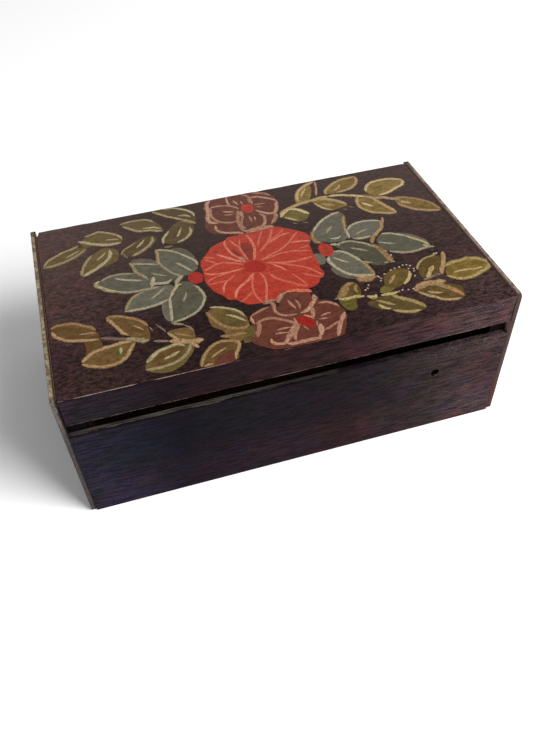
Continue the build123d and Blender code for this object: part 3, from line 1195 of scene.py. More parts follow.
def set_mark(bm, corners, tone):
    """Store a mark's own tone on its corners, and turn its faces up."""
    shade = bm.verts.layers.float["tone"]
    faces = {face for corner in corners for face in corner.link_faces}
    for corner in corners:
        corner[shade] = tone
    for face in faces:
        face.normal_update()
    if sum(face.normal.z * face.calc_area() for face in faces) < 0:
        bmesh.ops.reverse_faces(bm, faces=list(faces))


def cut_where_lid_curves(bm, patch):
    """Cut a patch along the lid's rounded arrises, and give back its corners with the new ones."""
    for y in CURVE_CUTS:
        if min(corner.co.y for corner in patch) < y < max(corner.co.y for corner in patch):
            edges = {edge for corner in patch for edge in corner.link_edges}
            faces = {face for corner in patch for face in corner.link_faces}
            cut = cut_by_plane(bm, list(patch) + list(edges) + list(faces), (0, y, 0), BACK)
            patch |= {item for item in cut if isinstance(item, bmesh.types.BMVert)}
    return patch


def paint_patch(bm, points, material):
    """Patch of paint inside a smooth outline, filled flat, cut where the lid curves and laid on it."""
    global layers_painted
    layers_painted += 1
    lift = PATCH_HEIGHT + LAYER_STEP * layers_painted
    corners = []
    for x, y in smooth_path(points, True, PATCH_STEP):
        shaky = Vector((x / SHAKE_LENGTH, y / SHAKE_LENGTH, layers_painted))
        x += SHAKE * noise.noise(shaky)
        y += SHAKE * noise.noise(shaky + Vector((0, 0, 40)))
        corners.append(bm.verts.new((x, y, 0)))
    rim = ring_of_edges(bm, corners)
    filled = bmesh.ops.triangle_fill(bm, use_beauty=True, use_dissolve=False, edges=rim)
    faces = [item for item in filled["geom"] if isinstance(item, bmesh.types.BMFace)]
    for face in faces:
        face.material_index = material
    bmesh.ops.inset_region(bm, faces=faces, thickness=PATCH_RIM, use_even_offset=False)
    inner = {corner for face in faces for corner in face.verts}
    for corner in inner:
        corner[bm.verts.layers.float["across"]] = 1.0
    patch = cut_where_lid_curves(bm, set(corners) | inner)
    for corner in patch:
        corner.co.z = surface_height(corner.co.y) + lift
    set_mark(bm, list(patch), brush.random())


# %% [markdown]
# A stroke is a short row of edges across the path, pulled on from step to step. The ribbon is thin where
# the brush lands and lifts, its sides are ragged and sink into the lid, and each corner keeps how far
# along and across the stroke it is. The paint reads these two values later. A path that comes near the
# lid's front or back edge is held off it by about the stroke's half width, so no paint hangs over.

# %% Strokes of paint
STROKE_STEP = 0.5
STROKE_HEIGHT = 0.05
STROKE_SPREAD = 1.75
RIBBON = (-1.0, -0.55, 0.0, 0.55, 1.0)
SIDE_SUNK = -0.03
CROWN = 0.3
LANDED, LANDING_LENGTH = 0.35, 3.2
LIFTED, LIFTING_LENGTH = 0.3, 3.6
SLOW_RAGGED, SLOW_LENGTH = 0.28, 2.4
FAST_RAGGED, FAST_LENGTH = 0.2, 0.8
EDGE_MARGIN = 0.1
EDGE_ROOM = 1.35


def tip_share(run, left):
    """Share of its full width that a stroke has after some run and with some length left."""
    return min(1.0, LANDED + run / LANDING_LENGTH, LIFTED + left / LIFTING_LENGTH)


def ragged_side(run, tone, place):
    """How much wider or narrower than even a stroke is at one side, as a share."""
    side = 1.0 if place > 0 else -1.0
    slow = noise.noise(Vector((run / SLOW_LENGTH, tone * 60, side)))
    fast = noise.noise(Vector((run / FAST_LENGTH, tone * 90, side * 3)))
    return slow * SLOW_RAGGED + fast * FAST_RAGGED


def pulled_from(old, new):
    """The new corner that an old one was pulled out to."""
    return next(edge.other_vert(old) for edge in old.link_edges if edge.other_vert(old) in new)


def next_row(bm, row, x, y):
    """Row of corners across the stroke at its next step, pulled from the row before if there is one."""
    if not row:
        row = [bm.verts.new((x, y, 0)) for place in RIBBON]
        for pair in zip(row, row[1:]):
            bm.edges.new(pair)
        return row
    edges = [bm.edges.get(pair) for pair in zip(row, row[1:])]
    pulled = bmesh.ops.extrude_edge_only(bm, edges=edges)["geom"]
    new = {item for item in pulled if isinstance(item, bmesh.types.BMVert)}
    return [pulled_from(old, new) for old in row]


def paint_stroke(bm, points, material, width):
    """Raised ribbon of paint along a smooth path, thin where the brush lands and lifts."""
    global layers_painted
    layers_painted += 1
    lift = STROKE_HEIGHT + LAYER_STEP * layers_painted
    tone = brush.random()
    side_layer = bm.verts.layers.float["across"]
    run_layer = bm.verts.layers.float["run"]
    path = smooth_path(points, False, STROKE_STEP)
    made = []
    row = []
    run = 0.0
    for index, (x, y) in enumerate(path):
        ahead = path[min(index + 1, len(path) - 1)]
        behind = path[max(index - 1, 0)]
        heading = Vector((ahead[0] - behind[0], ahead[1] - behind[1])).normalized()
        run += math.dist((x, y), behind)
        half = width * STROKE_SPREAD / 2 * tip_share(run, math.dist((x, y), path[-1]))
        beside = EDGE_MARGIN + EDGE_ROOM * half * abs(heading.x)
        y = max(lip_low.y + beside, min(y, lid_high.y - beside))
        row = next_row(bm, row, x, y)
        for corner, place in zip(row, RIBBON):
            reach = half * place * (1 + ragged_side(run, tone, place))
            at_x = x - heading.y * reach
            at_y = y + heading.x * reach
            rise = lift if abs(place) < 1 else SIDE_SUNK
            corner.co = (at_x, at_y, surface_height(at_y) + rise * (1 - CROWN * abs(place)))
            corner[side_layer] = place
            corner[run_layer] = run
        made += row
    set_mark(bm, made, tone)
    for face in {face for corner in made for face in corner.link_faces}:
        face.material_index = material
        face.smooth = True


# %% [markdown]
# Each paint on the lid is matt and a little dry, so the grain and the dark ground show through it in
# streaks, and its rim is feathered. The patches use the place on the lid for that, and then the streaks
# run on from patch to patch. A stroke uses its own run and its distance from its middle instead, which
# the ribbon carries, so its bristle marks bend with it and its sides break up.

# %% Tones of the ornament's paints
PATCH_PAINTS = {
    "olive": ((86, 70, 35), (110, 92, 51)),
    "ochre": ((112, 88, 40), (146, 120, 62)),
    "moss": ((92, 82, 36), (120, 108, 52)),
    "brass": ((88, 70, 35), (114, 92, 50)),
    "rust": ((96, 70, 38), (122, 94, 56)),
    "umber": ((76, 62, 34), (98, 82, 48)),
    "sage": ((88, 87, 72), (108, 106, 91)),
    "slate": ((78, 76, 61), (96, 93, 76)),
    "lilac": ((92, 85, 71), (116, 107, 92)),
    "plum": ((92, 45, 35), (110, 62, 49)),
    "red": ((170, 52, 37), (190, 66, 50)),
    "smudge": ((118, 42, 34), (144, 54, 42)),
    "stain": ((84, 48, 40), (108, 58, 48)),
    "heart": ((150, 34, 28), (168, 42, 34)),
    "berry": ((154, 40, 36), (178, 50, 44)),
}
STROKE_PAINTS = {
    "khaki": ((152, 136, 98), (192, 178, 138), (84, 68, 36)),
    "straw": ((178, 150, 104), (222, 198, 150), (102, 82, 42)),
    "gold": ((160, 138, 90), (204, 182, 126), (96, 76, 40)),
    "tan": ((150, 116, 76), (190, 158, 118), (86, 62, 34)),
    "stone": ((150, 138, 112), (194, 180, 152), (82, 78, 62)),
    "peach": ((204, 100, 78), (232, 142, 112), (168, 54, 42)),
    "rose": ((162, 116, 92), (202, 154, 128), (90, 50, 42)),
    "pink": ((124, 98, 84), (160, 132, 114), (54, 38, 34)),
    "chalk": ((196, 170, 150), (226, 204, 186), (110, 80, 70)),
}
DRY_EDGES = {"heart": (160, 56, 46), "smudge": (168, 60, 48), "stain": (96, 66, 42)}

# %% Paints of the ornament
PATCH_RELIEF = 0.03


def carried(tree, name):
    """One of the values that the marks carry on their corners: across, run or tone."""
    return add(tree, "Attribute", attribute_name=name).outputs[2]


def show_grain(tree, place):
    """Share of the dark ground that shows through the paint, in streaks along the lid's grain."""
    streaks = stretched_noise(tree, place, (6.0, 0.5, 0.5), 4.0, 3.0)
    clouds = stretched_noise(tree, place, (3.0, 2.0, 2.0), 5.0, 21.0)
    both = plus(tree, times(tree, streaks, 0.5), times(tree, clouds, 0.6))
    return step_up(tree, both, 0.54, 0.74, 0.0, 0.6)


def patch_paint(name, body, light):
    """Matt paint of a leaf or petal, feathered at its rim."""

    def build(tree):
        place = place_in_mm(tree)
        clouds = stretched_noise(tree, place, (4.0, 3.0, 3.0), 5.0, 5.0)
        fine = stretched_noise(tree, place, (0.7, 0.6, 0.6), 4.0, 2.0)
        lighter = step_up(tree, plus(tree, clouds, times(tree, carried(tree, "tone"), 0.3)), 0.4, 0.85)
        colour = between(tree, lighter, body, light)
        colour = scaled(tree, colour, spread(tree, fine, 0.75, 1.25))
        if name in DRY_EDGES:
            under = screen_colour(*DRY_EDGES[name])
        else:
            under = faded(tree, place, dark_paint(tree, place, LID_TINTS, LID_HUES, LID_GRAIN))
        feathered = step_up(tree, plus(tree, carried(tree, "across"), times(tree, fine, 1.8)), 1.35, 0.6)
        gone = largest(tree, feathered, show_grain(tree, place))
        # The patch takes the same dust and painted sheen toward the back of the lid.
        colour = dust_and_sheen_at_back(tree, place, mixed(tree, gone, colour, under))
        return coated(tree, colour, spread(tree, fine, 0.55, 0.75), fine, PATCH_RELIEF)

    return finish_material(name + " patch", build)


def bristle_marks(tree, across, run, tone):
    """Fine streaks that run along a stroke and differ from stroke to stroke."""
    inputs = {0: times(tree, across, 1.8), 1: times(tree, run, 0.5), 2: times(tree, tone, 40.0)}
    brushed = add(tree, "CombineXYZ", inputs).outputs[0]
    return add(tree, "TexNoise", {"Vector": brushed, "Scale": 1.5, "Detail": 5.0}).outputs[0]


def stroke_paint(name, body, light, under):
    """Paler paint of an outline, dry at its sides, so that what lies under it shows there."""

    def build(tree):
        place = place_in_mm(tree)
        across, run, tone = (carried(tree, value) for value in ("across", "run", "tone"))
        bristles = bristle_marks(tree, across, run, tone)
        fine = even_noise(tree, place, 0.55, 4.0, 2.0)
        side = arithmetic(tree, "ABSOLUTE", across)
        bare = step_up(tree, plus(tree, side, times(tree, fine, 1.5)), 1.05, 1.75)
        dry = step_up(tree, bristles, 0.54, 0.72, 0.0, 0.75)
        lit = step_up(tree, plus(tree, bristles, times(tree, tone, 0.3)), 0.45, 0.8, 1.0, 0.0)
        colour = between(tree, lit, body, light)
        gone = largest(tree, bare, dry, times(tree, show_grain(tree, place), 0.6))
        # The stroke takes the same dust and painted sheen toward the back of the lid.
        colour = dust_and_sheen_at_back(tree, place, mixed(tree, gone, colour, screen_colour(*under)))
        return coated(tree, colour, spread(tree, bristles, 0.5, 0.7), bristles, PATCH_RELIEF)

    return finish_material(name + " stroke", build)


paints = {name: patch_paint(name, *tones) for name, tones in PATCH_PAINTS.items()}
paints.update({name: stroke_paint(name, *tones) for name, tones in STROKE_PAINTS.items()})
print(len(PATCH_PAINTS), "patch paints and", len(STROKE_PAINTS), "stroke paints")

# %% [markdown]
# A painted group is written as a list of marks in the order in which they were laid down. A line gives
# the paint, the width of the brush mark if it is a stroke, and then the places that it passes through,
# in millimetres from the middle of the box. With the word dots for the width, each place gets a short
# dab. A line that ends in a comma goes on in the next one. Each group becomes one piece on the lid.

# %% Paint a group of marks
DOT_LENGTH = 0.8
DOT_WIDTH = 2.0


def paint_dots(bm, points, material):
    """A short dab of the brush's tip at each point."""
    for x, y in points:
        turned = brush.uniform(0, math.pi)
        half = Vector((math.cos(turned), math.sin(turned))) * DOT_LENGTH / 2
        ends = [(x - half.x, y - half.y), (x + half.x, y + half.y)]
        paint_stroke(bm, ends, material, DOT_WIDTH)


def paint_group(name, marks):
    """Lay down each mark of a group in order, as one piece that rides on the lid."""
    bm = bmesh.new()
    for layer in ("across", "run", "tone"):
        bm.verts.layers.float.new(layer)
    used = []
    for line in marks.strip().replace(",\n", ",").splitlines():
        title, places = line.split(":")
        paint, *width = title.split()
        if paint not in used:
            used.append(paint)
        material = used.index(paint)
        if not width:
            paint_patch(bm, read_points(places), material)
        elif width[0] == "dots":
            paint_dots(bm, read_points(places), material)
        else:
            paint_stroke(bm, read_points(places), material, float(width[0]))
    make_piece(name, bm, [paints[key] for key in used], "lid")


# %% [markdown]
# The sprig at the back left has seven leaves in olive and umber, with khaki outlines. It runs from the
# left end of the lid to the first blossom, and its leaves lean to the left. The outlines don't close at
# the tips, because each side of a leaf was one sweep of the brush.

# %% Sprig at the back left
paint_group("back_left_sprig", """
olive: -105.5 31, -98 38.7, -90 42.3, -84 41.5, -82.5 39, -88 33.5, -96 30, -102 28.9
khaki 1.3: -105.3 31.5, -102.4 35.6, -98.2 38.6, -94.7 40.6, -90 42.1, -86.5 43.9
khaki 1.5: -105.6 30.6, -101.2 30.4, -95.3 31.8, -90.6 33.9, -86.5 36.8, -83.2 39.8
khaki 1.0: -93.5 35.4, -90 37.4, -86.5 39.8
olive: -84.5 44.5, -81.8 50.9, -74.7 53.2, -67.6 48.6, -63.6 41, -68.8 38.6, -77.1 41, -83 41
khaki 1.3: -82.4 50.9, -78.2 52.1, -74.7 53, -71.2 51.2, -67.6 48.6, -64.7 45.4, -63.8 42.1
khaki 1.9: -86.2 47.7, -83.5 46.2, -80.6 43.9, -77.1 42.1, -73.5 40.4, -68.8 39.5, -64.7 39.5
khaki 1.1: -72.4 44.5, -68.8 43.9, -65.3 42.7
olive: -87.4 17.5, -85.5 25, -81 32.5, -75 37, -70 36, -67 31, -69 24, -74 22, -82 19
khaki 1.3: -87.6 17.4, -86.8 21.5, -85.3 25.6, -82.4 30.9, -80.5 33.2
khaki 1.7: -87.1 16.8, -83.5 18.6, -80 20.9, -75.3 24.5, -72.4 28, -71.5 31.5, -71.3 34.8
khaki 1.1: -78.8 27.9, -76 30.4, -73.6 33.4
umber: -65 27.5, -64 32, -60 36.5, -53.5 40, -47.5 40, -46.2 36, -50.5 30, -57 25.6, -61.5 25.2
khaki 0.9: -66.2 28.5, -65 31, -63 33.2, -60 35, -57.5 37
khaki 1.6: -60.9 25.6, -57 27.4, -53.5 29.8, -50.6 32.7, -48.5 36.2, -48.2 39.2
khaki 1.2: -57.6 32.1, -55.3 34.5, -52.6 38
pink 1.2: -65.3 29.8, -64.5 27, -63.2 24.6
umber: -62.3 56, -57 57.5, -50 57, -44.5 53, -41.5 46, -41.3 42.6, -46 43.8, -53 46, -59.5 51
khaki 1.2: -62.9 56.2, -58.8 57.1, -54.7 57.1, -50.6 56.8, -47.6 55.4, -44.7 52.4
khaki 1.5: -61.8 53.9, -58.8 50.9, -55.9 48, -52.4 46.2, -48.2 45.6, -43.5 43.3, -41.8 42.7
khaki 1.2: -51.8 48.6, -48.2 48, -45.3 47.4, -42.4 44.8
umber: -43.5 63, -38 63.6, -32 63, -26 58.5, -22.6 52, -23 46.5, -27 46, -31 50, -37 55
khaki 1.4: -44.1 62.7, -40.6 59.2, -37.1 55.6, -34.1 53.3, -31.2 50.9, -28.8 49.2
khaki 1.3: -37.6 63.2, -32.9 62.8, -28.8 60.4, -25.3 57.4, -23.2 53.9, -22.9 50.9
khaki 1.3: -31.2 54.2, -27.6 53.3, -24.7 50.9
umber: -42.8 32, -41.5 38.5, -37 45, -31 49, -25.5 46, -25.8 38, -31 30.5, -38 28.8
khaki 1.2: -43.5 31, -43 35, -41.2 38, -38.8 41.5
khaki 1.5: -36.5 29.5, -32.4 31.5, -29.4 33.9, -27.6 37.4, -27.6 41.5
khaki 1.3: -35.6 34.5, -33.5 38.6, -31.8 42.7
khaki 2.2: -30.6 49.2, -27.6 47.7, -23.5 43.9
pink 1.6: -43.8 27.6, -39.4 27.4
""")

# %% [markdown]
# The sprig at the back right grows from the blossom along one pale stem, laid down in three strokes.
# Its leaves are rounder, and two of them have a warmer outline than the rest.

# %% Sprig at the back right
paint_group("back_right_sprig", """
ochre: 33.5 45, 35 52, 38.5 57.5, 45.5 61.5, 46 55, 42.5 47, 40 44.5, 36 44
straw 1.6: 49.7 62.6, 45.9 61.2, 42.4 59.2, 38.8 56.2, 36.5 52.1, 35.3 48, 35.6 45.1
straw 1.4: 43 57.5, 40.6 53.9, 37.6 49.2
rose 1.0: 50.3 62.6, 49.7 58.6, 48.2 53.3, 46.5 48
ochre: 52 47.5, 54 52.5, 60 57.5, 69 59.8, 73.5 58, 71 51.5, 64 47.8, 57 46.8
straw 1.5: 51.8 47.4, 53.5 51.5, 56.5 54.5, 60.6 57.4, 65.3 59.2, 70 59.5, 73.8 59.8
straw 1.4: 73.8 59.5, 73.2 55.6, 71.2 52.1, 67.6 49.2, 62.9 47.7, 58.2 47.4
straw 1.5: 57.1 49.2, 60.6 51.5, 62.9 54.5
ochre: 74 42, 76 47.5, 81 51.5, 89 51.8, 97.5 47.5, 94 41.5, 86 37.5, 78 36
straw 1.5: 74.1 42.7, 75.9 46.8, 79.4 50.1, 84.1 51.2, 88.8 51.2, 94.1 49.8, 98.2 47.1
straw 1.6: 98.2 46.8, 95.9 42.7, 91.8 40.9, 87.6 38.6, 83.5 37.4, 79.4 36.8
moss: 79 43, 82 45.5, 86 45.6, 84 43.6
ochre: 85.5 27, 88 29.5, 95 27.5, 101 22.5, 105.5 13, 98 13.5, 90 19.5
tan 1.6: 85.9 31.5, 90.6 30.4, 95.9 27.4, 100.6 23.3, 103.5 19.2, 105.4 12.6
tan 1.7: 85.9 25.6, 88.2 22.1, 91.8 18, 96.5 15.1, 101 13.2, 105.2 12
straw 2.2: 87.6 27.4, 92.9 23.3
ochre: 68 39, 65.5 33, 66 26.5, 71 21.5, 81 17.5, 79 25, 76 34, 73 40
straw 1.5: 68 39.5, 65.9 35.1, 65.3 30.4, 66.5 26.2, 70 22.1, 74.7 19.8, 78.8 18, 81.8 17.4
straw 1.8: 74.1 38, 75.9 32.7, 78.2 26.8, 80.6 21.5, 82.1 17.7
straw 1.6: 67.6 32.7, 70 29.8, 72.4 27.4
ochre: 42 44, 48 44, 54 40.5, 59.5 33.5, 55 32, 49 31.5, 44.5 37
straw 2.0: 41.8 43.9, 45.3 44.2, 48.8 43.3, 52.4 41.5, 55.3 39.2, 57.6 36.2, 59.4 33.9
straw 1.2: 43 41, 45.3 36.2, 47.6 33.3, 50.6 31.5
straw 1.1: 45.9 39.2, 49.4 37.4, 52.9 35.1
moss: 22 34, 25 38.5, 30 39.5, 35 35, 36.5 31, 33 27, 28 27.5
straw 1.9: 21.5 33.9, 24.1 37.4, 27.6 39.8, 31.8 38.6, 34.7 35.1, 37.1 32.1
straw 1.3: 23.5 33.3, 25.9 30.9, 29.4 28
straw 2.0: 22 37.5, 28.8 40.9, 33.5 42.7, 39.4 43.9, 43 44.2, 47 44.9, 52.9 45.1
straw 1.7: 52.9 45.1, 57.6 44.5, 62.4 42.7, 67.1 40.4, 71.8 38
tan 2.0: 71.8 38, 75.9 35.1, 80.6 33.9, 85.9 30.4, 89.4 29.2
pink 1.0: 64.7 42, 64 39.2
pink 1.2: 59.5 31.8, 62 29.8
pink 1.0: 56 30.4, 58 28.6
pink 0.9: 26 26.5, 28 25
pink 0.8: 31 25.4, 34 24.2
""")

# %% [markdown]
# The sprig at the front left is the brownest. Its leaves hang from a stem that thickens where two of
# them meet, and the leaf at the lid's front edge has a dull red stain in it.

# %% Sprig at the front left
paint_group("front_left_sprig", """
rust: -91.5 -32, -85.5 -31.5, -84 -38, -88 -41, -92.5 -44, -91.5 -37
rust: -105.5 -19.5, -100 -17, -93 -19, -86.5 -25.5, -85 -31.5, -92 -30.5, -100 -27.5, -104.5 -23.5
tan 1.5: -105.6 -18.8, -104.1 -17.4, -99.4 -17.1, -94.7 -18.2, -90.6 -21.2, -87.6 -23.5, -85.9 -25.9
tan 1.5: -105.3 -20.6, -104.1 -24.1, -101.2 -27.1, -97.6 -29.4, -93.5 -30.6, -89.4 -31.8, -85.3 -32.4
tan 1.2: -93.5 -26.2, -90 -26.8, -85.9 -27.6
rust: -79.5 -19, -73 -20.3, -67 -24.2, -63 -30, -62.5 -37, -63.5 -40.5, -68 -38, -73 -33, -76.5 -26
tan 1.4: -80 -18.5, -78.2 -22.9, -75.9 -27.6, -74.1 -31.8, -71.8 -34.1
tan 1.4: -79.4 -18.2, -74.7 -19.4, -70.6 -21.8, -67.1 -24.1, -64.1 -27.6, -62.4 -30.6
tan 0.9: -68.8 -28.2, -66.5 -30.6, -64.7 -32.9
rust: -94.3 -46, -90 -41.5, -82 -39, -73 -38.2, -69.8 -40, -73 -46, -78.5 -51, -85 -51.2
tan 1.7: -94.1 -45.3, -91.8 -42.9, -88.8 -40.6, -84.7 -39.4, -80 -38.8, -75.3 -38.2, -71.2 -38.8
tan 1.6: -94.4 -46.5, -90.6 -48.8, -86.5 -50.6, -82.9 -51.2, -78.8 -50.6, -74.7 -47.6, -72.4 -43.5, -70 -40
moss: -78.5 -41, -75.5 -41, -76 -46, -79 -47
khaki 1.7: -76.4 -41.2, -77.1 -45.3
pink 1.6: -84.7 -31.8, -80.6 -33.5, -76.5 -35.3, -72.4 -36.5
khaki 2.4: -73.4 -36, -68.8 -38.2, -65.3 -40, -63.5 -40.6
pink 1.2: -61.8 -41.8, -58.2 -42.9, -54.7 -44.1
rust: -54.5 -38, -50 -37, -45 -38, -43 -42, -44 -46.5, -50 -45
tan 1.3: -54.7 -38.2, -52.4 -41.8, -50.6 -44.7
pink 0.9: -46.5 -35.3, -44.1 -38.2, -42.9 -41.8
tan 1.2: -51.8 -39.4, -48.2 -41.8, -44.7 -44.1
pink 0.8: -58.8 -30.6, -56.5 -34.7, -55.3 -37.6
pink 0.8: -61.8 -31.8, -60.9 -34.7
olive: -68.3 -58.5, -66 -53.5, -60 -48, -52 -46, -46 -48, -45.5 -53, -51 -60, -58 -63.5, -64.5 -62
rust: -65.5 -57, -61 -51, -54 -48.5, -49 -51, -53 -57, -60 -59
khaki 1.6: -67.1 -54.7, -63.5 -51.2, -60 -48.8, -55.9 -47.6, -51.8 -47.1, -48.8 -49.4
khaki 1.6: -68.2 -58.8, -63.5 -59.4, -58.8 -59.1, -54.7 -58.2, -50.6 -55.9, -47.6 -52.4, -46.5 -48.8
khaki 1.5: -59.4 -54.7, -55.3 -53.5, -51.8 -51.8
tan 2.7: -54.7 -44.1, -50.6 -45.3, -47.1 -47.1, -43.5 -47.6, -40 -47.6
tan 2.0: -46 -48, -44 -51, -43 -52.2
rust: -44.5 -65, -43 -59, -38 -53.5, -31 -51.5, -25.5 -53.5, -27 -60, -29.5 -65.3
tan 1.4: -44.7 -64.7, -43.5 -61.2, -41.2 -57.1, -37.6 -53.5, -33.5 -51.8, -29.4 -52.4, -25.9 -53.5
tan 1.4: -25.3 -53.5, -25.9 -57.1, -28.2 -61.2, -29.4 -64.7
stain: -38 -62.6, -35 -60.8, -31 -59, -28.5 -60.5, -29.8 -65.3, -36 -65.4, -39 -65.3
tan 1.1: -39.4 -60.6, -35.9 -58.2, -31.8 -56.5
tan 1.6: -43.5 -64.8, -39.5 -64.2
rust: -34 -30.5, -30 -28.5, -23 -31, -18.5 -36.5, -17.5 -43, -19 -48, -22 -53, -27 -55, -29 -51,
    -30.5 -45, -34.5 -40
olive: -30.5 -33, -26 -31.5, -21.5 -35, -18.5 -41, -21 -45, -26 -43.5, -30 -39
olive: -20.5 -47, -17 -45.5, -16 -50, -18 -55, -23 -56, -22 -51
tan 1.6: -34.7 -30, -32.9 -35.3, -30.6 -40, -27.6 -43.5, -24.1 -45.3, -20 -46, -18 -44.6
khaki 1.2: -32.4 -27.1, -28.8 -28.2, -25.3 -30, -22.4 -31.8, -20 -34.5, -18.3 -38
khaki 1.3: -26.5 -34.7, -24 -36.1, -21.5 -38.6, -18.6 -41.9
tan 1.6: -32.4 -48.2, -27.6 -49.4, -24 -49.4, -20.5 -50
tan 2.4: -27 -52.5, -25.7 -55.5
""")

# %% [markdown]
# The sprig at the front right carries the thickest outlines, and dots of pale paint show where the
# brush was running dry.

# %% Sprig at the front right
paint_group("front_right_sprig", """
brass: 27 -42, 31 -35, 38 -31.5, 39.5 -36, 38.5 -41, 35 -44, 33 -50, 29.5 -50.5, 27 -46
moss: 27.5 -43.5, 33 -43, 33 -49, 30 -51, 27.5 -48
tan 2.0: 26.5 -40.3, 29.4 -38.5, 31.8 -34.7, 34.7 -32.4, 38.2 -31.5
tan 2.4: 29.5 -40, 32.5 -36.5, 34.5 -33.5
gold 1.8: 27 -41, 30.6 -42, 35.3 -41.8, 39.4 -42.9
gold 1.3: 38.8 -33.5, 37.1 -36.5, 37.4 -39.4
moss: 47.5 -43, 50 -39, 55 -38, 56 -41, 52 -44
brass: 55 -31, 60 -28, 66 -29.5, 67 -34, 62 -39.5, 56 -42, 52 -40, 52.5 -35
tan 1.6: 54.1 -38.2, 56.5 -35.3, 59.4 -32.4
gold 1.4: 60.6 -40.6, 63.5 -38.2, 65.9 -35.3, 67.1 -31.8
brass: 71 -39, 72.5 -31, 77.5 -26.5, 85 -25, 86 -30, 82 -37, 77 -40.5
gold 1.0: 71.2 -32.4, 72.9 -29.4, 75.9 -26.5, 79.4 -24.7, 83.5 -24.1, 86 -22.4
tan 1.9: 89.4 -22.9, 87.6 -27.6, 85.3 -31.8, 82.9 -35.3, 81.2 -39.4
straw 2.1: 72.9 -40.6, 76.5 -35.9, 80 -31.8
ochre: 83 -41, 86 -35, 93 -32.5, 100 -32.5, 106.4 -38.3, 101 -43.5, 93 -46, 87 -45
gold 2.0: 85.3 -34.1, 89.4 -32.6, 94.1 -32.4, 98.2 -31.8, 102.4 -33.2, 105.3 -35.9, 106.2 -38.2
gold 1.7: 106.2 -38.8, 104.7 -41.8, 100.6 -43.5, 95.9 -45.3, 91.2 -45.9, 87.1 -44.7, 82.9 -41.2
gold 1.3: 87.1 -40, 91.8 -39.7, 97.1 -40.6, 102.4 -40.6
brass: 64 -47.5, 70 -44.5, 78 -46, 85 -50, 85 -56, 82 -59, 74 -56.5, 68 -52
tan 2.7: 63.5 -47.6, 65.9 -45.3, 70 -44.7, 74.1 -44.7, 77.6 -47.6, 80.6 -51.2, 82.9 -54.7, 83.5 -57.5
tan 1.5: 64.7 -48.2, 67.1 -51.2, 70.6 -54.1, 72.9 -56.5, 77.1 -58.2, 81.8 -58.8
tan 1.6: 68.8 -49.4, 71.8 -51.2, 75.3 -52.4
umber: 39 -48, 45 -46, 52 -46, 58 -51.5, 64 -59, 58 -60.8, 49 -57, 42 -53.5
gold 2.0: 51.8 -46.5, 55.3 -50, 58.8 -52.9, 61.8 -56.5, 63.5 -59.4
gold 1.6: 48.2 -56.5, 51.8 -58.8, 55.3 -60, 60.6 -60.6
gold 1.8: 43.5 -50.6, 44.7 -53.5, 47.6 -55.3
gold 1.6: 43.5 -47.6, 47.1 -50.6, 50.6 -53.5
gold 2.0: 40.6 -43.2, 43.5 -45.2, 45 -43.4
gold 1.7: 47.1 -44.7, 51.2 -45.3, 55.5 -45.1
tan 2.6: 64.7 -45, 70 -43.5, 75.9 -44.1, 80.6 -44.7
pink 1.2: 70.6 -40.6, 74.7 -40, 78.8 -38.8, 82.4 -39.4
pink 1.1: 25.3 -40.6, 27.6 -40
peach 1.6: 80.6 -51.6, 82.6 -54.6, 83.6 -57
chalk dots: 50.9 -30.8, 51.4 -31.7, 52 -33, 51.2 -34.6, 54.8 -30.3, 58.9 -28.3, 61.3 -27.6, 63.8 -27.4
chalk dots: 66.1 -26.6, 67.9 -26.9, 69.2 -28.1, 67.6 -30.2, 70 -31, 69.5 -32.7, 72.3 -30.3, 73.6 -28.5
chalk dots: 75.7 -26.5, 68.3 -36.4, 63.4 -45.3, 60.9 -45.1, 58.2 -44.5, 56.2 -44.9, 44.2 -35.8
chalk dots: 42.9 -37.9, 41.6 -38.8, 84.6 -22.9, 86 -23, 62.8 -12.9, 65 -14.1, 63.1 -22.5, 64 -16.9
""")

# %% [markdown]
# Five grey-green leaves fan out at the left of the rosette, with a red berry where they meet it. They
# were painted larger than the sprigs' leaves and outlined in a greyer khaki, and a faint lilac shade
# lies outside some of the outlines, where the first coat went past them.

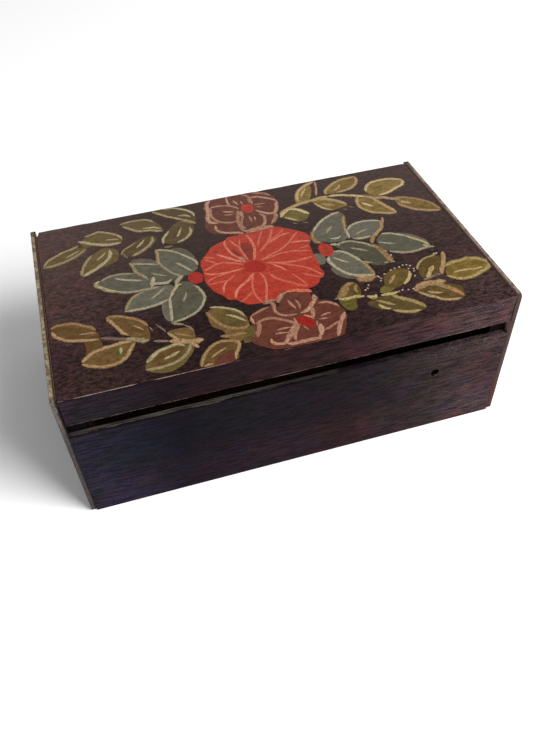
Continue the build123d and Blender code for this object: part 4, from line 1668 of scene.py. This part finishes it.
# %% Grey leaves at the left
paint_group("left_grey_leaves", """
lilac: -39 25.5, -34 22.5, -31.2 17, -30.3 11, -32 10, -36 16.5, -42.5 23
lilac: -62.5 21, -60 22.3, -56 21.5, -51 18.5, -49.5 14.5, -55 15.5, -60 17.8
lilac: -53.5 -17, -49.3 -16.5, -50 -30, -53.8 -29
sage: -81.3 9, -77 11.3, -70.6 12.6, -64 11.5, -59.5 8, -56 3, -58 -3.5, -66 -3.6, -72 -1.2, -78.5 4
sage: -63.2 19.5, -56 17.2, -49.5 14, -46.5 8, -42 1.5, -46 -2, -52 -1, -56.5 3.5, -60.5 9, -62.3 15
sage: -71 -17, -68.5 -11.5, -64 -6.5, -58 -4, -51 -3.5, -46 -5, -48 -12, -51 -16, -60 -18, -67 -18
slate: -50.8 -31, -50 -20, -48.5 -12, -44 -5, -39.5 -3.5, -36 -7, -33.3 -13, -33.2 -19, -36 -26, -42 -30
sage: -48.5 26.5, -43 25.5, -38 21, -33 14, -30.8 8, -31.5 4, -36 1, -40 0.5, -44 4.5, -48 10, -49.4 17
stone 1.3: -78.8 9.7, -75.3 11.8, -70.6 12.4, -66.5 11.8, -62.4 10.6
khaki 1.8: -79.6 10.2, -81.4 8.6, -81.2 6.6, -78.8 4.1, -75.9 1.2, -71.8 -1.2
stone 1.5: -73 -0.6, -68.2 -2.9, -64.1 -3.5, -58.2 -3.8, -52.1 -3.8
stone 1.3: -71.8 9.7, -68.2 7.4, -64.1 5.6, -59.4 3.8
stone 1.2: -63.5 19.4, -59.4 17.9, -55.3 16.5, -51.2 14.7, -49.4 14.4
khaki 1.6: -63.2 20.2, -61.8 15.9, -61.2 11.8, -59.4 8.8, -57.6 5.9, -56.5 3.5
stone 1.2: -54.1 8.5, -51.2 5.9, -47.1 3.5
khaki 1.4: -70.6 -16.5, -69.1 -12.9, -66.5 -8.8, -63.5 -6.5, -60 -5
stone 1.4: -71.2 -17.1, -66.5 -17.4, -61.8 -17.6, -57.1 -17.1, -53.5 -16.2, -49.4 -14.7
stone 1.2: -57.6 -11.8, -53.5 -8.8, -50 -5.3
stone 1.4: -51.2 -31.2, -50.6 -26.5, -50 -21.8, -49.4 -17.1, -48.8 -13.5
khaki 1.6: -48.8 -14, -46.5 -10, -43.5 -5.6, -41.2 -5.6
stone 1.2: -50.6 -31.8, -46.5 -31.2, -41.2 -29.4, -37.1 -26.5, -34.7 -22.9, -32.9 -18.2, -33.5 -13.5,
    -34.7 -10, -35.9 -8
stone 1.2: -43.5 -18.8, -41.8 -15.9, -40.6 -12.4
khaki 1.3: -51.8 -31.8, -49.4 -33.5, -46.5 -34.9
khaki 1.4: -48.8 26.5, -48.2 23.5, -48.8 19.4, -48.8 14.7, -47.1 10.6
stone 1.4: -47.8 12, -44.7 5.9, -41.8 2.4, -39.4 0.6
khaki 1.4: -48.8 26.8, -44.7 25.3, -40.6 22.9, -37.1 19.4
stone 1.3: -37.6 20, -33.5 14.7, -31.2 11.2, -30.6 7.1
stone 1.4: -40.6 12.4, -38.2 9.4, -36.5 6.5, -34.1 2.9
stone 2.3: -53.5 4.7, -54.7 0.6, -55.9 -2.9
stone 1.6: -55.9 0, -48.8 -1.8, -45.3 0
stone 1.8: -39.4 1.2, -42.9 -1.8, -44.1 -5.3
berry: -37.6 -1.5, -36 1.2, -33.4 2, -30.6 0.2, -30 -3.5, -31.4 -6.8, -34.2 -7.6, -36.8 -5.6
""")

# %% [markdown]
# Five more stand at the right of the rosette. Some of their outlines are tan instead of grey, and the
# berry there is painted in the rosette's own red.

# %% Grey leaves at the right
paint_group("right_grey_leaves", """
lilac: 74 0, 80 -3, 85 -9, 86 -13, 82 -10, 77 -5
lilac: 31.5 -18, 33 -24, 37 -28, 41 -29, 38 -24, 34.5 -18
lilac: 26.5 -4, 31 -4.5, 32 -9, 30 -13, 27 -12
sage: 51 10, 55 14.5, 62 15.8, 70 13.5, 69 8, 63 2, 58 0, 51 2
sage: 53 27.5, 46 26, 39 21, 34 15, 32.5 10, 34 5.5, 40 3, 46 2.5, 49.5 6, 51 13, 54 22
sage: 63 -1, 68 1.8, 76 -2, 82 -8, 86 -15.5, 80 -17.6, 71 -16.5, 63 -12.5, 61.5 -6
slate: 40 -1, 45 1, 50 0.5, 55.5 -4, 60 -11, 62 -19, 60 -23, 53 -22, 48 -14, 44 -7
sage: 37 -5, 42 -6.5, 46 -13, 49 -21, 50 -28.5, 44 -28, 37.5 -23.5, 33.5 -15, 33 -9.5
stone 1.5: 52.8 28.2, 48.7 27.4, 44 25.3, 39.9 22.4, 36.4 18.8, 33.4 15.3
tan 1.7: 33.8 16, 31.6 11.2, 32.2 6.5, 34.6 4.1
tan 1.6: 54 24.1, 52.2 20.6, 51.1 15.9, 49.9 11.8
stone 1.6: 50.1 13, 49.9 7.6, 49.3 3.5
stone 1.3: 44.6 16.8, 41.6 14.1, 39.3 11.2
stone 1.3: 39.9 6.5, 43.4 5.6, 45.8 7.1
stone 1.3: 51 10.5, 53 12.9, 55.2 14.4, 59.3 15.6, 64 15.3, 68.1 14.1, 70.5 12.9
tan 1.6: 70.5 13.4, 69.9 10, 68.1 6.5, 65.2 4.1, 62.8 1.8, 60.5 -0.6, 58.7 -4.7
khaki 1.3: 51.6 2.4, 55.8 1.5, 60.5 1.8
stone 1.2: 53.4 5.6, 56.9 7.1, 61.1 8.5
rose 1.2: 72.8 15.9, 71 10.6
stone 1.4: 66.4 1.8, 70.5 0.6, 74.6 -1.8, 78.1 -4.7
khaki 1.6: 77.4 -4, 81.1 -8.2, 84 -11.8, 85.8 -15.3
stone 1.4: 65.2 -14.1, 69.9 -16.5, 74.6 -17.6, 79.3 -17.4, 84 -16.5, 87.5 -17.4
khaki 2.6: 82.6 -14.2, 84.6 -16
stone 1.3: 62.2 -4.7, 66.4 -7.1, 69.9 -8.8
stone 1.4: 41.1 0, 44.6 1.2, 48.7 0.9, 52.2 -1.2, 55.8 -4.1, 58.7 -8.2
tan 2.5: 58.4 -5.5, 59.8 -9, 60.9 -12.4, 61.6 -17.1, 61.9 -22.9
stone 1.4: 46.9 -4.7, 50.5 -7.1, 54.6 -10
khaki 2.0: 58.4 -21.6, 60.6 -22.2
stone 1.5: 37.5 -4.7, 41.1 -5.9, 44 -8.8, 46.4 -13.5, 48.1 -17.6
tan 1.6: 47.4 -16.2, 49.3 -21.8, 49.9 -26.5, 49.9 -30
stone 1.6: 34 -8.2, 32.8 -10.6, 33.4 -14.7, 35.2 -19.4, 37.5 -23.5, 41.1 -26.5, 45.8 -28.2, 49.9 -29.4
khaki 1.3: 35.8 -9.4, 38.7 -12.9, 41.6 -15.9
khaki 1.3: 48.1 -17.1, 50.5 -18.8, 52.8 -19.4
tan 3.0: 40.5 -29.4, 45 -31, 50 -30.6
tan 2.4: 41.5 -28.4, 48 -29
stone 1.6: 38 1.6, 41 0.6, 42.4 -1
red: 34.2 3.8, 37 2, 38.2 -2, 37.2 -6, 34.6 -8, 31.8 -6.4, 30.8 -2.4, 31.8 1.8
""")

# %% [markdown]
# The rosette in the middle is one round red patch with a crimson heart. About thirty peach lines run
# out from the heart, and some fork like the veins of a leaf. Two dark smudges lie behind the heart.

# %% Red rosette
paint_group("rosette", """
red: -29.3 0, -29 7.5, -27 11.5, -24 15, -20 20, -13 23, -10 25.3, -4 25.5, 3.5 25.5, 11 26, 16.5 26.3,
    20.5 23.5, 26 19, 29.5 15, 30.3 10, 28.5 6, 27.8 2, 27.3 -5, 27.5 -12.5, 26.8 -15, 27.3 -20.5,
    24 -23.5, 21.5 -27, 17 -28.5, 13 -28, 3.5 -27, 0.5 -31, -4 -32, -9 -32, -14 -31, -17.5 -28,
    -19.5 -25.5, -22.5 -24.5, -24 -21, -27.5 -16.5, -28.5 -13, -29.8 -9.5, -29.8 -5
smudge: -6.3 18, -3 17, 0 14, -0.5 8, -2.5 2.5, -5 3, -6 9
smudge: -11.5 14, -9.5 13, -7.6 7.5, -9 5, -11 9
peach 1.3: -29 1, -25.5 2.5, -21.5 4.5, -17.5 4.5, -14 3, -11.5 1.5, -8.5 0
peach 1.3: -28.8 -0.5, -26.5 -2.5, -22.5 -3.5, -17.5 -4, -13 -3.5, -9.5 -3.2
peach 1.1: -29.3 -9, -27.5 -7, -24 -5.5, -19 -5
peach 1.1: -29.3 -10, -26.5 -10.2, -22.5 -10.2, -19 -10, -17 -8.5, -14.5 -6
peach 1.0: -23.2 -18.5, -22.5 -15, -21 -12, -19 -10
peach 1.6: -26.6 12, -23.5 11, -21 9.5
peach 1.2: -26.5 10, -24 8, -21 5
peach 1.5: -19.5 12.5, -16.5 9.5, -14 7, -11.5 4.5, -9 2
peach 1.2: -12.5 23, -13.5 20, -13.2 15.5, -12 10.5, -10 7, -8.5 3
peach 1.2: -10.2 22.5, -9 19, -7 14.5, -6.8 11, -6 6.5, -5.5 2.5
peach 1.1: -5 21.5, -6 18, -6.8 14
rose 2.6: -9.5 7, -8 4, -7.5 1.5
peach 1.5: -1 24.5, 0.2 20, 0.5 15, 0 10, -1.5 5, -2.8 1.5
peach 1.1: 8 25, 6 21, 4 17, 2.5 12.5
peach 1.4: 13.5 25, 12 21, 10 17, 8 14, 5 10.5, 2 7.5
peach 1.2: 19.5 23, 16.5 20, 12 16.5, 8.5 14
peach 1.1: 21.5 18.8, 17 18, 13 16, 9 13.5
peach 1.2: 25.5 18, 22 14.5, 18.5 10.5, 15 7.5, 12 5.5, 8 4, 4 2, 0.5 0.5
peach 1.1: 29.4 8, 26 9.2, 22.5 9.8, 19 10
peach 1.0: 27.5 5, 25 4, 21.5 3.5
peach 1.2: 26.5 0, 23 1.2, 19 2.5, 14 2.8, 10 2.5, 6 1.5, 1 0.2
peach 1.5: 2 -2, 5.5 -3.5, 10 -5, 16 -5.8, 22 -5.5, 26.5 -5
peach 1.1: 9 -5.5, 12 -7, 16 -9.5, 20 -12.5, 23 -16, 25.5 -20, 26.5 -21.5
peach 1.0: 5 -4.5, 8 -8, 10.5 -12
peach 1.1: 12 -15.5, 14 -19, 15.5 -23, 16.5 -26.5
peach 1.5: 1.5 -11, 3 -15, 6 -18.5, 9.5 -21.5, 12.5 -24.5, 16 -27
peach 1.1: 16.5 -16.5, 20 -19, 23.5 -21.5, 26 -22.5
peach 1.1: -2.8 -9.5, -1.8 -13, -2 -17.5, -3.2 -23, -5 -28.5, -6 -32
peach 1.1: -6 -9, -7.5 -13, -9 -18, -9.5 -23, -9 -28, -7.5 -32
peach 1.5: -5.5 -8.5, -9 -12.5, -13 -15.5, -16.5 -18.5, -18.5 -22.5, -19.2 -24.5
peach 1.1: -10 -22.5, -13 -25, -15.5 -27, -17.5 -28
heart: -9 -4.5, -8 0, -4 1.5, -1 0.5, 1.75 -4.5, 0.5 -8, -2 -9, -6 -7.5, -8.8 -6
""")

# %% [markdown]
# The two blossoms before and behind the rosette are plum brown, each with a red heart, overlapping
# petals and two or three short dabs on every petal. The one at the back is cut off by the lid's edge.

# %% Blossoms
paint_group("back_blossom", """
plum: -14.5 63, -16.5 52, -19 42, -19.5 36, -17 31, -10 28, 0 26.5, 8 27, 15 28, 19 35, 21 42, 24 50,
    23 57, 18 62, 12 63.8, 0 63.9, -8 63.8
rose 2.2: -11 63.6, -13.6 60.5, -14.4 56.3, -15 51.3, -16 47.2, -16.5 44.3, -15.3 41.3, -12 40
rose 1.5: -12.8 55.5, -9.8 56, -6 55.5, -3.2 54.7, -0.7 53, 1 51, 1.8 49.3
rose 1.5: -12.8 55.5, -13.5 52, -14 48.5, -13.5 44.6, -11.5 41.3, -9 39.3, -5.3 38, -2.3 38.2
rose 2.0: 1 48, 0.2 44.6, -0.7 41.3, -1.5 38, -1.5 34.6, -1.3 30.5, -0.7 27.2
rose 2.2: 2.2 47, 1.8 41
rose 1.3: -7.3 49.7, -4 48.4, -1.1 47.6
rose 1.3: -7.3 46.1, -4.4 45.5, -1.5 45.9
rose 1.3: -1.5 63.8, -2.3 60.5, -2.3 56.3, -1.9 53.8
rose 1.7: 6.4 63.6, 8.5 61.8, 10.2 59.3, 9.8 56.3, 8.9 53
rose 1.3: 1 58.8, 1.8 55.9, 2.7 53.4
rose 1.2: 4.8 56.8, 5.2 53
rose 1.6: 12.7 62.8, 16 61.6, 19.3 60.1, 22.3 56.8
rose 1.7: 10.6 58, 13.5 58.4, 16.8 56.8, 19.8 54.7, 22.7 52.2, 23.9 50.5
rose 1.7: 23.9 50.1, 22.7 47.2, 21.8 43.8, 20.2 40.5, 18.1 39.3, 15.6 40.1, 13.1 42.2, 11 44.3, 10.6 45.5
rose 1.6: 10.6 57.6, 10.2 54.3, 10.4 51.3
rose 1.3: 11 50.7, 14.3 50.5, 17.3 50.1
rose 1.2: 11 48.4, 13.5 47.6, 15.2 46.8
rose 2.0: 19.8 39.3, 18.9 35.5, 16.8 32.2, 14.8 29.7
rose 1.5: 2.7 41.8, 1 38.8, -0.3 35.1, -0.3 32.2, 1 29.7
rose 1.7: 11.4 41.3, 13.1 38, 12.7 34.7, 11.4 31.3, 9.3 29.3, 5.2 28.4, 1 28
rose 1.3: 5.4 40.9, 5.6 38, 5.4 34.7
rose 1.3: 8.1 39.3, 7.7 35.9
rose 1.7: -14 38, -14.4 34.7, -13.2 31.8, -10.3 29.7, -6.5 28.4, -3.2 27.2, -1.5 25.9
rose 2.8: -0.7 28, 3.1 27, 9.3 27.6, 13.5 27.6, 14.8 26.3
red: 3.2 49, 4.4 52, 7 53, 9.6 51.4, 10.2 48, 8.8 44.8, 6.2 43.8, 3.8 45.6
""")
paint_group("front_blossom", """
plum: -16.5 -41, -15 -39, -6 -35.5, -1.5 -37, 0 -33, 4 -29, 9 -29, 15 -31.5, 15.5 -36, 18 -38.5,
    22 -40.5, 26 -47, 26.8 -50, 25 -57, 22 -63, 19 -65.4, -4 -65.4, -12 -64, -19 -58, -19.5 -54,
    -15.5 -54, -16.5 -48
rose 1.5: -5.7 -32.3, -3.6 -33.6, -3.6 -36.5, -4 -39.4, -2.8 -42.3, -0.7 -44, 2.7 -44.8, 5.2 -44.8
rose 2.2: -0.7 -34.4, 0.2 -31.9, 2.7 -29, 5.2 -27.8
rose 2.4: -8 -32.4, -4.5 -31.6, -1 -31.8
peach 2.3: 5.2 -27.3, 9.3 -28.2, 12.7 -29.4, 15.6 -30.3, 16.4 -31.9
rose 2.2: 16.8 -34, 16 -37.8, 14.3 -39.8, 12.7 -41.9, 10.2 -44, 6.8 -44.8
rose 1.3: 3.9 -34, 4.8 -37.8, 5.8 -41.1
rose 1.3: 7.3 -34.4, 8.1 -38.2, 7.7 -41.9
rose 1.3: -15.7 -39.8, -12.8 -38.2, -9.8 -36.9, -6 -35.7
rose 1.4: -15.7 -39.8, -15.9 -42.8, -15.3 -45.3
rose 1.7: -14.8 -45.7, -12.8 -44.4, -9.8 -43.6, -6.5 -44, -3.2 -46.1, -0.3 -48.2, 1.8 -50.3, 2.7 -52.3
rose 2.2: -13.2 -44.8, -14 -48.2, -15.3 -51.1, -16.5 -54.4
rose 1.4: -6.9 -52.8, -4 -52.3, -0.7 -52.8
rose 1.3: -8.6 -54.8, -6.1 -55, -2.8 -55.7
rose 1.7: -11.1 -57.3, -11.1 -59.8, -9 -61.5, -6.1 -61.9, -4 -59.8, -1.9 -56.9
rose 2.9: -4.4 -60.4, -2 -57.2, 0.2 -54.2, 2 -51.4
rose 2.1: -5.3 -62.3, -1.9 -64, 1.8 -64.6, 6 -64.8, 9.3 -64, 10.6 -61.5
rose 1.6: -0.7 -62.3, -0.5 -59.4, 1 -56.5, 2.6 -54, 3 -51.6
rose 2.4: 13.1 -54.8, 12.2 -58.6, 11 -62.3
rose 1.5: 12.2 -52.3, 11.4 -55.7
rose 1.4: 16.8 -40.7, 20.6 -41.1, 23.5 -43.2, 25.6 -46.1
rose 2.1: 26.4 -50.7, 24.8 -53.2, 22.3 -56.5, 19.8 -61.5, 17.9 -65.1
rose 1.3: 22.7 -55.7, 19.3 -56.9, 16 -58.6, 13.1 -59.4
rose 2.4: 13.5 -43.2, 12.2 -46.5, 11.4 -49.8
rose 1.3: 15.2 -49.8, 17.7 -49, 20.2 -49
rose 1.2: 13.5 -51.5, 16 -51.9, 18.1 -51.9
heart: 3.5 -49, 4.8 -46.9, 6.8 -47.8, 9.3 -49.8, 11 -51.9, 10.6 -54.8, 8.5 -56.1, 6.4 -54.8, 5.2 -52.8,
    3.9 -51.5
rose 1.5: 3.1 -47.3, 2.7 -50.7, 4.3 -53.2
peach 1.4: 7.7 -46.5, 10.2 -48.6, 11.4 -50.7
rose 1.2: 5.4 -53.6, 6.8 -57.3
""")
highest = STROKE_HEIGHT + LAYER_STEP * layers_painted
print("marks on the lid", layers_painted, "and the highest", round(highest, 3), "mm")
